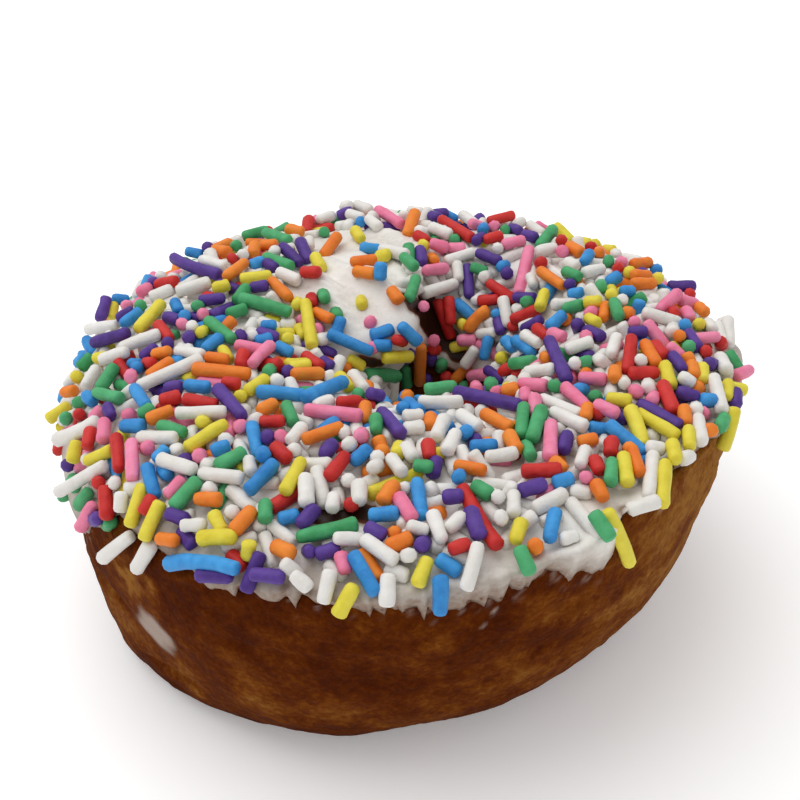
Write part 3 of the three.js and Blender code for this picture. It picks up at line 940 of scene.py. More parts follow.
        (520, 300, 534, 301), (507, 362, 537, 358), (552, 321, 563, 322), (563, 312, 585, 304),
        (594, 288, 608, 287), (613, 298, 620, 321), (582, 356, 590, 370, 1), (683, 348, 692, 348, 1),
        (726, 353, 740, 371), (242, 237, 268, 229), (262, 230, 291, 241), (263, 256, 294, 269),
        (233, 246, 241, 246, 1), (318, 231, 330, 231), (448, 240, 461, 239, 1), (401, 254, 417, 269),
        (470, 267, 486, 274), (499, 229, 511, 233, 1), (555, 228, 538, 250), (562, 270, 582, 280),
        (602, 262, 614, 262), (362, 372, 400, 378, 1),
    ],
    "blue": [
        (163, 561, 241, 565), (352, 551, 377, 594), (437, 552, 458, 571), (441, 575, 441, 616),
        (147, 465, 157, 498), (158, 467, 173, 478, 1), (211, 452, 230, 445), (248, 494, 277, 463),
        (256, 452, 271, 458), (277, 517, 299, 512), (369, 447, 354, 465), (417, 478, 422, 520),
        (369, 514, 400, 515), (451, 479, 466, 476), (552, 484, 574, 479, 1), (556, 507, 549, 542),
        (83, 392, 95, 405), (130, 368, 145, 367), (132, 386, 150, 410), (184, 384, 211, 388),
        (119, 427, 145, 427), (155, 462, 169, 448), (256, 393, 305, 397), (302, 401, 348, 380),
        (252, 423, 259, 459), (403, 399, 423, 417), (396, 411, 410, 405), (470, 447, 498, 445),
        (575, 383, 587, 394, 1), (586, 428, 616, 428), (608, 424, 643, 454), (698, 401, 717, 401),
        (111, 299, 129, 298), (121, 326, 142, 311), (84, 336, 93, 356), (173, 298, 180, 314),
        (180, 312, 192, 322), (221, 337, 203, 352), (129, 364, 146, 364), (88, 354, 74, 365),
        (342, 318, 334, 336), (326, 334, 372, 352), (260, 326, 276, 326), (255, 344, 272, 340, 1),
        (273, 346, 292, 354, 1), (455, 301, 481, 322), (490, 313, 503, 315), (490, 337, 484, 361),
        (370, 336, 394, 328), (372, 345, 392, 346, 1), (399, 324, 420, 344), (503, 337, 515, 353),
        (512, 338, 535, 355), (565, 312, 547, 329), (568, 292, 584, 292), (619, 291, 635, 291),
        (680, 321, 690, 333, 1), (186, 251, 204, 255), (249, 267, 265, 262, 1), (357, 222, 367, 223),
        (360, 247, 381, 250), (381, 262, 380, 281), (478, 228, 488, 230), (496, 268, 511, 264),
        (591, 250, 581, 265), (605, 277, 622, 277), (652, 270, 660, 271),
    ],
    "purple": [
        (197, 574, 235, 578, 1), (262, 552, 246, 593), (250, 574, 285, 577), (299, 550, 316, 555, 1),
        (316, 556, 340, 546, 1), (415, 541, 432, 549), (57, 465, 72, 464), (97, 510, 97, 527, 1),
        (167, 512, 189, 523), (317, 506, 298, 528, 1), (433, 457, 437, 478, 1), (443, 495, 464, 500),
        (468, 508, 480, 541), (364, 527, 386, 536), (518, 491, 547, 483), (164, 388, 184, 386, 1),
        (105, 403, 113, 420), (215, 386, 246, 419), (285, 365, 289, 379, 1), (267, 430, 267, 447),
        (335, 441, 322, 459), (421, 381, 432, 376, 1), (366, 395, 385, 396), (378, 409, 403, 438),
        (452, 392, 522, 408), (486, 367, 507, 384), (549, 337, 569, 385), (567, 431, 565, 456),
        (676, 393, 699, 397), (636, 403, 682, 428), (736, 388, 736, 409, 1), (702, 364, 719, 367),
        (105, 294, 97, 320), (147, 285, 160, 281), (116, 318, 134, 310), (91, 345, 131, 333),
        (162, 318, 180, 322, 1), (199, 301, 226, 297), (182, 338, 195, 338), (156, 346, 142, 360),
        (160, 345, 176, 346, 1), (250, 287, 269, 287), (255, 333, 278, 341, 1), (235, 336, 248, 336),
        (320, 358, 333, 368), (468, 264, 469, 300), (426, 358, 436, 360, 1), (496, 319, 504, 335),
        (543, 318, 522, 330), (514, 297, 536, 297, 1), (562, 287, 576, 284), (628, 332, 648, 331),
        (581, 329, 606, 340), (667, 287, 696, 286), (686, 331, 698, 353), (670, 353, 685, 373),
        (170, 259, 222, 278), (263, 263, 279, 270, 1), (279, 246, 303, 267), (299, 238, 309, 265),
        (337, 215, 353, 209), (427, 215, 441, 221), (419, 246, 422, 267), (472, 245, 485, 234),
        (475, 253, 501, 262), (507, 226, 523, 234), (521, 235, 538, 240), (500, 274, 514, 274),
    ],
}
# Bends in millimetres, by a rod's first tip.
BENT_RODS = {(163, 561): 0.62, (489, 309): 0.45}


def random_rods(icing, outer, draw):
    """Rods strewn at random where none is placed: behind, inside and under the placed ones."""
    faces = icing.data.polygons
    centres = read(faces, "center", 3) / MM
    normals = read(faces, "normal", 3)
    weight = read(faces, "area", 1)[:, 0] * outer[read(faces, "vertices", 4, np.int32)].all(1)
    around = np.arctan2(centres[:, 1] - RING_AXIS[1], centres[:, 0] - RING_AXIS[0])
    _, _, back = camera_axes()
    facing = smooth((normals @ back) / FRONT_RAMP)
    tree, _, angles = surface_tree(dough_point, -40.0, 175.0)
    angle = np.array([angles[tree.find_nearest(Vector(centre))[2]] for centre in centres])
    share = icing_share(around, angle)
    front = smooth((OPEN_FRONT_SHARE - share) / OPEN_FRONT_RAMP + 0.5) * smooth(facing)
    weight *= 1 - OPEN_FRONT * front
    weight *= (1 - bareness(centres)) * (1 - painted_shadow_spots(centres)) * (1 - FRONT_THINNED * smooth(facing * 2))
    picked = draw.choice(len(faces), ROD_COUNT, p=weight / weight.sum())
    middle, normal, facing = centres[picked], normals[picked], facing[picked]
    length = np.clip(np.exp(draw.normal(math.log(ROD_LENGTH), LENGTH_SPREAD, ROD_COUNT)), *LENGTH_LIMITS)
    radius = ROD_RADIUS * draw.uniform(*STREWN_RADII, ROD_COUNT)
    kind = draw.uniform(0, 1, ROD_COUNT)
    tilt = np.select([kind < LYING, kind < LEANING], [
        draw.normal(0, LYING_TILT, ROD_COUNT),
        draw.uniform(*LEANING_TILTS, ROD_COUNT),
    ], draw.uniform(*STEEP_TILTS, ROD_COUNT))
    tilt = np.radians(np.where(length > LONG_ROD, tilt * LONG_ROD_TILT, tilt))
    side = np.cross(normal, draw.normal(0, 1, (ROD_COUNT, 3)))
    side /= np.linalg.norm(side, axis=1, keepdims=True)
    along = side * np.cos(tilt)[:, None] + normal * np.sin(tilt)[:, None]
    core = (length / 2 - radius * CORE_END)[:, None]
    colour = draw.choice(len(COLOURS), ROD_COUNT, p=np.array(COLOUR_SHARES) / sum(COLOUR_SHARES))
    lift = radius + draw.uniform(0.0, 1.0, ROD_COUNT) * (PILE_HEIGHT - LOWER_AT_FRONT * facing)
    middle = middle + normal * (lift + np.abs(np.sin(tilt)) * core[:, 0])[:, None]
    sunk = draw.uniform(*STREWN_SUNK, ROD_COUNT)
    whiter = facing * draw.uniform(0, 1, ROD_COUNT) > WHITE_AT_FRONT
    return {
        "start": middle - along * core,
        "end": middle + along * core,
        "radius": radius,
        "sunk": sunk,
        "colour": np.where(whiter, COLOURS.index("white"), colour),
        "free": np.ones(ROD_COUNT),
        "bend": np.full(ROD_COUNT, np.nan),
        "ray": np.zeros((ROD_COUNT, 3)),
    }


def placed_ends(tree, tips, radius):
    """Core ends of a rod on the bed, from its tips in the camera's view."""
    first, last = np.array(tips[:2], dtype=float), np.array(tips[2:4], dtype=float)
    reach = np.linalg.norm(last - first)
    middle = on_surface(tree, (first + last) / 2)
    _, ray = camera_ray((first + last) / 2)
    _, depth = pixel_of(middle)
    scale = FOCAL_PIXELS / depth
    tip = radius * scale
    if reach < SHORTEST_LYING * tip:
        return middle, middle + ray * END_ON_CORE + 0.01
    way = (last - first) / reach
    ends = [on_surface(tree, first + way * tip), on_surface(tree, last - way * tip)]
    most = STEEPEST * (reach - 2 * tip) / scale / 2
    for k in (0, 1):
        away = (ends[k] - middle) @ ray
        ends[k] = ends[k] + ray * (np.clip(away, -most, most) - away)
    return ends[0], ends[1]


def placed_rods(draw):
    tree, _, _ = surface_tree(bed_point, -50.0, 175.0)
    rods = {name: [] for name in ("start", "end", "radius", "sunk", "colour", "free", "bend", "ray")}
    for number, colour in enumerate(COLOURS):
        for tips in PLACED_RODS[colour]:
            mark = tips[4] if len(tips) > 4 else 0
            radius = ROD_RADIUS * (THICK_ROD if mark == 2 else draw.uniform(*PLACED_RADII))
            start, end = placed_ends(tree, tips, radius)
            _, ray = camera_ray(((tips[0] + tips[2]) / 2, (tips[1] + tips[3]) / 2))
            deeper = ray * (LOW_ROD_DEPTH if mark in (1, 3) else 0.0)
            sunk = SUNK_DISC_SHARE if mark == 3 else SUNK_SHARE
            row = (start + deeper, end + deeper, radius, sunk, number, PLACED_FREEDOM,
                   BENT_RODS.get(tips[:2], np.nan), ray)
            for name, value in zip(rods, row):
                rods[name].append(value)
    return {name: np.array(values) for name, values in rods.items()}


def closest_shares(p1, q1, p2, q2):
    """How far along each of two rods they come nearest, as shares of their cores."""
    d1, d2, r = q1 - p1, q2 - p2, p1 - p2
    a, e = (d1 * d1).sum(1) + 1e-9, (d2 * d2).sum(1) + 1e-9
    b, c, f = (d1 * d2).sum(1), (d1 * r).sum(1), (d2 * r).sum(1)
    s = np.clip((b * f - c * e) / np.maximum(a * e - b * b, 1e-6), 0, 1)
    t = (b * s + f) / e
    s = np.where(t < 0, np.clip(-c / a, 0, 1), np.where(t > 1, np.clip((b - c) / a, 0, 1), s))
    return s, np.clip(t, 0, 1)


def pair_ends(rods, i, j):
    return rods["start"][i], rods["end"][i], rods["start"][j], rods["end"][j]


def gap_between(p1, q1, p2, q2, s, t):
    """The way from the second rod of each pair to the first, at shares s and t of their cores."""
    return (p1 + (q1 - p1) * s[:, None]) - (p2 + (q2 - p2) * t[:, None])


def stack_placed(rods, pairs):
    """Where placed rods cross in the camera's view, sets one behind the other."""
    i, j = pairs
    both = (rods["free"][i] < 1) & (rods["free"][j] < 1)
    i, j = i[both], j[both]
    ray = rods["ray"][i] + rods["ray"][j]
    ray /= np.linalg.norm(ray, axis=1, keepdims=True)
    ends = pair_ends(rods, i, j)
    s, t = closest_shares(*[place - ray * (place * ray).sum(1)[:, None] for place in ends])
    gap = gap_between(*ends, s, t)
    deeper = (gap * ray).sum(1)
    aside = np.linalg.norm(gap - ray * deeper[:, None], axis=1)
    together = rods["radius"][i] + rods["radius"][j]
    needed = np.sqrt(np.maximum((STACK_HEIGHT * together) ** 2 - aside ** 2, 0))
    short = needed - np.abs(deeper)
    hit = (short > 0) & (aside < STACK_WIDTH * together)
    first_is_lower = deeper[hit] > 0
    i, j, s, t, ray, short = i[hit], j[hit], s[hit], t[hit], ray[hit], short[hit]
    for k, share, lower in ((i, s, first_is_lower), (j, t, ~first_is_lower)):
        by = (np.where(lower, STACK_DOWN, -STACK_UP) * short)[:, None] * ray
        np.add.at(rods["start"], k, by * (1.5 - share)[:, None])
        np.add.at(rods["end"], k, by * (0.5 + share)[:, None])


def hold_placed(rods, home):
    """Keeps placed rods where they are seen: they move along the view, and hardly sideways."""
    placed = rods["free"] < 1
    ray = rods["ray"][placed]
    for name in ("start", "end"):
        moved = rods[name][placed] - home[name][placed]
        deeper = (moved * ray).sum(1)
        aside = moved - ray * deeper[:, None]
        far = np.linalg.norm(aside, axis=1)
        aside *= np.minimum(1, PLACED_SIDEWAYS / np.maximum(far, 1e-6))[:, None]
        deeper = np.clip(deeper, -PLACED_RAISE, PLACED_SINK)
        rods[name][placed] = home[name][placed] + aside + ray * deeper[:, None]


def stray(rods):
    """Which strewn rods to leave out.

    They are those in front of placed ones, off the icing's edge, too high, in a gap or across another rod.
    """
    tree, arounds, angles = surface_tree(dough_point, -60.0, 175.0)
    _, _, back = camera_axes()
    placed = np.nonzero(rods["free"] < 1)[0]
    loose = np.nonzero(rods["free"] == 1)[0]
    out = np.zeros(len(rods["radius"]), dtype=bool)
    seen = {name: in_view(rods[name]) for name in ("start", "end")}
    flat = {name: value * FLAT_VIEW for name, value in seen.items()}
    wide = rods["radius"] * FOCAL_PIXELS / seen["start"][:, 2]
    for k in loose:
        same = np.full(len(placed), k)
        s, t = closest_shares(*pair_ends(flat, same, placed))
        gap = gap_between(*pair_ends(seen, same, placed), s, t)
        over = np.linalg.norm(gap[:, :2], axis=1) < OVER_IN_VIEW * (wide[k] + wide[placed])
        out[k] = (over & (-gap[:, 2] > IN_FRONT)).any()
        for tip in (rods["start"][k], rods["end"][k]):
            spot, normal, face, _ = tree.find_nearest(Vector(tip))
            high = abs((Vector(tip) - spot).dot(normal)) + rods["radius"][k] > HIGHEST_ROD
            in_front = abs(normal.dot(Vector(back))) > FRONT_FACING and tip[1] < 0
            lowest = FRONT_LOWEST_SHARE if in_front else LOWEST_SHARE
            out[k] |= high or icing_share(arounds[face], angles[face]) < lowest
    middle = (rods["start"] + rods["end"]) / 2
    out[loose] |= (painted_shadow_spots(middle[loose]) > SHADOW_SPOT_LIMIT) | (bareness(middle[loose]) > BAREST)
    pixels = in_view(middle) * FLAT_VIEW
    for first, last, reach in GAPS:
        apart = beside(pixels, np.array([*first, 0.0]), np.array([*last, 0.0]))
        out[loose] |= apart[loose] < reach
    i, j, gap = rod_gaps(rods, 0.0)
    crossing = gap < -DEEPEST_CROSSING
    for first, second in zip(i[crossing], j[crossing]):
        out[second] |= rods["free"][second] == 1 and not out[first]
    return out


def near_pairs(rods, reach):
    """Pairs of rods whose middles are near enough for them to touch."""
    middle = (rods["start"] + rods["end"]) / 2
    half = np.linalg.norm(rods["end"] - rods["start"], axis=1) / 2 + rods["radius"]
    square = (middle ** 2).sum(1)
    apart = square[:, None] + square[None, :] - 2 * middle @ middle.T
    near = apart < (half[:, None] + half[None, :] + reach) ** 2
    return np.nonzero(np.triu(near, 1))


def part_rods(rods, pairs):
    """Moves rods that run into each other apart, by their ends."""
    i, j = pairs
    one_free = (rods["free"][i] == 1) | (rods["free"][j] == 1)
    i, j = i[one_free], j[one_free]
    ends = pair_ends(rods, i, j)
    s, t = closest_shares(*ends)
    gap = gap_between(*ends, s, t)
    distance = np.linalg.norm(gap, axis=1)
    overlap = rods["radius"][i] + rods["radius"][j] - distance
    hit = overlap > 0
    i, j, s, t = i[hit], j[hit], s[hit], t[hit]
    way = gap[hit] / np.maximum(distance[hit], 1e-6)[:, None]
    free_i, free_j = rods["free"][i], rods["free"][j]
    push = way * (overlap[hit] * PART_STRENGTH / np.maximum(free_i + free_j, 1e-6))[:, None]
    moves = {"start": np.zeros_like(rods["start"]), "end": np.zeros_like(rods["end"])}
    times = np.zeros(len(rods["radius"]))
    for k, share, sign, free in ((i, s, 1, free_i), (j, t, -1, free_j)):
        spread = (1 - share) ** 2 + share ** 2
        np.add.at(moves["start"], k, sign * push * (free * (1 - share) / spread)[:, None])
        np.add.at(moves["end"], k, sign * push * (free * share / spread)[:, None])
        np.add.at(times, k, 1)
    times = np.maximum(times * PART_SHARE, 1)[:, None]
    rods["start"] += moves["start"] / times
    rods["end"] += moves["end"] / times


def rest_on(ground, rods, sink):
    """Lets each rod down a little, and lifts what has gone too deep into the ground."""
    for k in range(len(rods["radius"])):
        start, end = rods["start"][k], rods["end"][k]
        middle = (start + end) / 2
        _, normal, _, _ = ground.find_nearest(Vector(middle))
        down = np.array(normal) * sink * (rods["free"][k] == 1)
        start -= down
        end -= down
        least = rods["radius"][k] * (1 - rods["sunk"][k])
        for tip in (start, end):
            spot, normal, _, _ = ground.find_nearest(Vector(tip))
            normal = np.array(normal)
            height = float((tip - np.array(spot)) @ normal)
            if height < least:
                tip += normal * (least - height)


def keep_lengths(rods, core):
    """Gives each rod its own core length again, about its middle."""
    middle = (rods["start"] + rods["end"]) / 2
    along = rods["end"] - rods["start"]
    along *= (core / np.maximum(np.linalg.norm(along, axis=1), 1e-6))[:, None]
    rods["start"] = middle - along / 2
    rods["end"] = middle + along / 2


def settle(rods, ground):
    """Lets the strewn rods down among the placed ones."""
    core = np.linalg.norm(rods["end"] - rods["start"], axis=1)
    home = {name: rods[name].copy() for name in ("start", "end")}
    for turn in range(SETTLE_ROUNDS):
        if turn % ROUNDS_PER_SEARCH == 0:
            pairs = near_pairs(rods, SEARCH_REACH)
        stack_placed(rods, pairs)
        part_rods(rods, pairs)
        if turn % 2 == 0:
            rest_on(ground, rods, SINK * (1 - turn / SETTLE_ROUNDS))
        keep_lengths(rods, core)
        hold_placed(rods, home)


def rod_gaps(rods, reach):
    """Pairs of rods near each other, and the room between the two, below 0 where they cross."""
    i, j = near_pairs(rods, reach)
    ends = pair_ends(rods, i, j)
    gap = gap_between(*ends, *closest_shares(*ends))
    return i, j, np.linalg.norm(gap, axis=1) - rods["radius"][i] - rods["radius"][j]


def ground_gap(ground, rods, k):
    """Room between a rod and what lies under it, below 0 where it touches."""
    start, end = rods["start"][k], rods["end"][k]
    heights = []
    for place in (start, (start + end) / 2, end):
        spot, normal, _, _ = ground.find_nearest(Vector(place))
        heights.append((Vector(place) - spot).dot(normal))
    return min(heights) - rods["radius"][k]


def carried_rods(rods, ground):
    """Which rods touch the ground, or a rod that does, and so on."""
    count = len(rods["radius"])
    i, j, gap = rod_gaps(rods, CARRY_REACH)
    touch = gap < -TOUCH_DEPTH
    i, j = i[touch], j[touch]
    carried = np.array([ground_gap(ground, rods, k) < -TOUCH_DEPTH for k in range(count)])
    for _ in range(CARRY_ROUNDS):
        carried[i] |= carried[j]
        carried[j] |= carried[i]
    return carried


def let_down_loose(rods, ground):
    """Lets rods that hang in the air down in small steps, until they lie on something."""
    _, _, back = camera_axes()
    for _ in range(LET_DOWN_STEPS):
        loose = ~carried_rods(rods, ground)
        if not loose.any():
            return
        for k in np.nonzero(loose)[0]:
            _, normal, _, _ = ground.find_nearest(Vector((rods["start"][k] + rods["end"][k]) / 2))
            way = rods["ray"][k] if rods["free"][k] < 1 else -back
            step = LET_DOWN * (way - LET_DOWN_INWARDS * np.array(normal))
            rods["start"][k] += step
            rods["end"][k] += step


def rod_model():
    """One rod of radius 1 and half length 1, with rounded ends and two bands that let it bend."""
    deselect()
    bpy.ops.mesh.primitive_cylinder_add(vertices=ROD_SIDES, radius=1.0, depth=2.0, end_fill_type="NGON")
    rod = bpy.context.object
    bpy.ops.object.mode_set(mode="EDIT")
    bpy.ops.mesh.select_all(action="DESELECT")
    bpy.ops.mesh.select_mode(type="FACE")
    bpy.ops.object.mode_set(mode="OBJECT")
    for face in rod.data.polygons:
        face.select = abs(face.normal.z) > 0.9
    bpy.ops.object.mode_set(mode="EDIT")
    bpy.ops.mesh.bevel(offset=ROD_BEVEL, segments=2, affect="EDGES")
    for level in ROD_BANDS:
        bpy.ops.mesh.select_all(action="SELECT")
        bpy.ops.mesh.bisect(plane_co=(0, 0, level), plane_no=(0, 0, 1))
    bpy.ops.object.mode_set(mode="OBJECT")
    points = coordinates(rod.data)
    # The faces can come in another order each time, so they are sorted.
    faces = sorted(tuple(face.vertices) for face in rod.data.polygons)
    bpy.data.objects.remove(rod)
    return points, faces


def rod_points(model, start, end, radius, bend, bend_way, uneven):
    """The model rod, stretched between two core ends, bent in a shallow arc and a little uneven."""
    along = end - start
    half = np.linalg.norm(along) / 2 + radius
    along = along / np.linalg.norm(along)
    side = np.cross(along, bend_way)
    side /= np.linalg.norm(side)
    out = np.cross(side, along)
    z = model[:, 2]
    reach = np.where(np.abs(z) >= ROD_TIP, np.sign(z) * (half - (1 - np.abs(z)) * radius),
                     z / ROD_TIP * (half - (1 - ROD_TIP) * radius))
    share = reach / half
    turn = -2 * bend * share / half
    taper, waist, phase, oval = uneven
    thick = radius * (1 + taper * share + waist * np.cos(WAIST_TURNS * share + phase))
    across, sideways = model[:, 0] * thick * (1 + oval), model[:, 1] * thick * (1 - oval)
    place = (start + end) / 2 + along * (reach - across * np.sin(turn))[:, None]
    place = place + out * (bend * (BEND_MIDDLE - share ** 2) + across * np.cos(turn))[:, None]
    return place + side * sideways[:, None]


def make_rods(rods, draw):
    """One piece for each colour, with all rods of that colour."""
    model, faces = rod_model()
    count = len(rods["radius"])
    length = np.linalg.norm(rods["end"] - rods["start"], axis=1)
    bent = draw.uniform(0, 1, count) < BENT_SHARE
    bend = np.where(bent, draw.uniform(-BEND, BEND, count), 0.0) * length
    chosen_bend = ~np.isnan(rods["bend"])
    bend = np.where(chosen_bend, rods["bend"], bend)
    uneven = np.stack([
        draw.uniform(-TAPER, TAPER, count),
        draw.uniform(0.0, WAIST, count),
        draw.uniform(0, WAIST_PHASE, count),
        draw.uniform(-OVAL, OVAL, count),
    ], 1)
    tone = draw.uniform(0, 1, count)
    _, up, _ = camera_axes()
    ways = np.where(chosen_bend[:, None], up, draw.normal(0, 1, (count, 3)))
    pieces = []
    for number, colour in enumerate(COLOURS):
        chosen = np.nonzero(rods["colour"] == number)[0]
        points, corners, tones = [], [], []
        for k in chosen:
            first = len(points) * len(model)
            points.append(rod_points(model, rods["start"][k], rods["end"][k], rods["radius"][k],
                                     bend[k], ways[k], uneven[k]))
            corners.extend(tuple(first + c for c in face) for face in faces)
            tones.extend([tone[k]] * len(model))
        name = "sprinkles_" + colour
        mesh = bpy.data.meshes.new(name)
        mesh.from_pydata((np.concatenate(points) * MM).tolist(), [], corners)
        set_values(mesh, "tone", tones)
        piece = bpy.data.objects.new(name, mesh)
        bpy.context.scene.collection.objects.link(piece)
        mesh.shade_smooth()
        pieces.append(finish_piece(piece, name, "sprinkle_" + colour, "frosting"))
    return pieces


def ground_tree(icing, outer, crust):
    """The surfaces that rods can lie on: the icing's outside and the crust below it."""
    points, faces = [], []
    for piece, kept in ((icing, outer), (crust, None)):
        first = len(points)
        points.extend((coordinates(piece.data) / MM).tolist())
        for face in piece.data.polygons:
            corners = face.vertices
            if kept is None or all(kept[c] for c in corners):
                faces.append([first + c for c in corners])
    return BVHTree.FromPolygons(points, faces)


# ---------------------------------------------------------------- materials
# Colours are from dark to light, a noise is (scale per metre, detail, roughness), and a bump is (depth in
# metres, strength).
NOISE_SPAN = (0.3, 0.7)
FRIED_BROWN = (0.092, 0.0178, 0.0009)
CRUST_STOPS = [
    (0.32, (0.054, 0.0080, 0.0004)),
    (0.46, FRIED_BROWN),
    (0.58, (0.148, 0.0385, 0.0032)),
    (0.76, (0.275, 0.1150, 0.0210)),
]
CRUST_TONE = 0.482
CRUST_BROAD = (130, 3, 0.5)
CRUST_FINE = (480, 4, 0.6)
CRUST_GRAIN = (1500, 3, 0.6)
CRUST_WEIGHTS = (0.6, 0.42, 0.32)
CRUST_FINE_BUMP = (0.0007, 0.7)
CRUST_GRAIN_BUMP = (0.0003, 0.7)
CRUST_ROUGHNESS = (0.75, 0.95)
CRUST_GLOSS = 0.03
SMEAR_COLOUR = (0.370, 0.290, 0.245)
ICING_STOPS = [(0.3, (0.74, 0.70, 0.64)), (0.7, (0.84, 0.82, 0.79))]
ICING_BROAD = (120, 3, 0.5)
ICING_FINE = (900, 3, 0.5)
ICING_RAGGED = (1300, 3, 0.6)
ICING_BUMP = (0.00012, 0.5)
ICING_ROUGHNESS = (0.42, 0.58)
ICING_GLOSS = 0.3
FILM_RAGGED_EDGE = (0.5, 0.52)
FILM_AND_SHADE_TINTS = [
    # (film from, film to, colour), from full icing to bare crust: beige, partly thin icing and partly
    # painted shade; thin icing over the crust; the crust's brown; near-black painted shadow
    (0.0, 0.62, (0.430, 0.375, 0.325)),
    (0.72, 0.97, (0.255, 0.180, 0.135)),
    (1.01, 1.08, FRIED_BROWN),
    (1.3, 1.8, (0.026, 0.0070, 0.0018)),
]
ROD_COLOURS = {
    "white": ((0.70, 0.67, 0.62), (0.82, 0.80, 0.77)),
    "pink": ((0.74, 0.15, 0.27), (0.86, 0.28, 0.44)),
    "red": ((0.45, 0.010, 0.010), (0.65, 0.042, 0.034)),
    "orange": ((0.74, 0.15, 0.010), (0.84, 0.27, 0.035)),
    "yellow": ((0.66, 0.54, 0.030), (0.80, 0.70, 0.078)),
    "green": ((0.032, 0.26, 0.082), (0.095, 0.44, 0.19)),
    "blue": ((0.016, 0.175, 0.49), (0.060, 0.345, 0.74)),
    "purple": ((0.052, 0.018, 0.17), (0.120, 0.055, 0.32)),
}
SUGAR_BLOTCH = (700, 2, 0.5)
SUGAR_LUMPS = (900, 2, 0.5)
SUGAR_GRAIN = (3000, 2, 0.5)
SUGAR_LUMPS_BUMP = (0.00022, 0.6)
SUGAR_GRAIN_BUMP = (0.00007, 0.6)
SUGAR_TONE = 0.45
SUGAR_BLOTCHES = (0.0, 0.55)
SUGAR_ROUGHNESS = (0.45, 0.62)
SUGAR_GLOSS = 0.28


def add_node(tree, kind, inputs, **settings):
    """A node with its settings, and each input set to a number or colour or linked to another node."""
    node = tree.nodes.new(kind)
    for name, value in settings.items():
        setattr(node, name, value)
    for name, value in inputs.items():
        if isinstance(value, bpy.types.NodeSocket):
            tree.links.new(value, node.inputs[name])
        else:
            node.inputs[name].default_value = value
    return node.outputs


def new_material(name):
    """A material with its node tree, and the inputs of its shader."""
    material = bpy.data.materials.new(name)
    material.use_nodes = True
    tree = material.node_tree
    tree.nodes.clear()
    output = tree.nodes.new("ShaderNodeOutputMaterial")
    shader = tree.nodes.new("ShaderNodeBsdfPrincipled")
    tree.links.new(shader.outputs["BSDF"], output.inputs["Surface"])
    return material, tree, shader.inputs


def dress(tree, shader, colour, roughness, normal, gloss):
    """Links what varies over a surface to its shader, and sets how it reflects."""
    for name, value in (("Base Color", colour), ("Roughness", roughness), ("Normal", normal)):
        tree.links.new(value, shader[name])
    shader["Specular IOR Level"].default_value = gloss


def place_on(tree):
    return add_node(tree, "ShaderNodeTexCoord", {})["Object"]


def value_of(tree, name):
    return add_node(tree, "ShaderNodeAttribute", {}, attribute_name=name)["Fac"]


def noise_of(tree, place, noise):
    scale, detail, roughness = noise
    return add_node(tree, "ShaderNodeTexNoise", {
        "Vector": place, "Scale": scale, "Detail": detail, "Roughness": roughness})["Fac"]


def ramp_of(tree, value, stops):
    ramp = tree.nodes.new("ShaderNodeValToRGB")
    while len(ramp.color_ramp.elements) < len(stops):
        ramp.color_ramp.elements.new(0.5)
    for element, (place, colour) in zip(ramp.color_ramp.elements, stops):
        element.position = place
        element.color = (*colour, 1.0)
    tree.links.new(value, ramp.inputs["Fac"])
    return ramp.outputs["Color"]


def mix_of(tree, factor, first, second):
    return add_node(tree, "ShaderNodeMix", {0: factor, 6: first, 7: second}, data_type="RGBA")[2]


def span_of(tree, value, span, result):
    """A value's span, stretched to that of the result."""
    return add_node(tree, "ShaderNodeMapRange", {
        "Value": value, "From Min": span[0], "From Max": span[1],
        "To Min": result[0], "To Max": result[1]})["Result"]


def multiply_add(tree, value, weight, addend):
    return add_node(tree, "ShaderNodeMath", {0: value, 1: weight, 2: addend}, operation="MULTIPLY_ADD")[0]


def sum_of(tree, start, parts):
    """A start number plus values, each taken from its middle and times its weight."""
    total = start - sum(weight * middle for _, weight, middle in parts)
    for value, weight, _ in parts:
        total = multiply_add(tree, value, weight, total)
    return total


def bump_of(tree, height, bump, under=None):
    depth, strength = bump
    inputs = {"Strength": strength, "Distance": depth, "Height": height}
    if under is not None:
        inputs["Normal"] = under
    return add_node(tree, "ShaderNodeBump", inputs)["Normal"]


def crust_material():
    material, tree, shader = new_material("crust")
    place = place_on(tree)
    noises = [noise_of(tree, place, noise) for noise in (CRUST_BROAD, CRUST_FINE, CRUST_GRAIN)]
    _, fine, grain = noises
    parts = [(noise, weight, 0.5) for noise, weight in zip(noises, CRUST_WEIGHTS)]
    # The crust's mottle, lightened by the painted sheen on the sides and darkened by the painted shade at
    # the foot.
    mottle = sum_of(tree, CRUST_TONE, [*parts, (value_of(tree, "tone_and_painted_light"), 1.0, 0.0)])
    colour = ramp_of(tree, mottle, CRUST_STOPS)
    colour = mix_of(tree, value_of(tree, "smear"), colour, (*SMEAR_COLOUR, 1))
    roughness = span_of(tree, fine, NOISE_SPAN, CRUST_ROUGHNESS)
    normal = bump_of(tree, grain, CRUST_GRAIN_BUMP, bump_of(tree, fine, CRUST_FINE_BUMP))
    dress(tree, shader, colour, roughness, normal, CRUST_GLOSS)
    return material


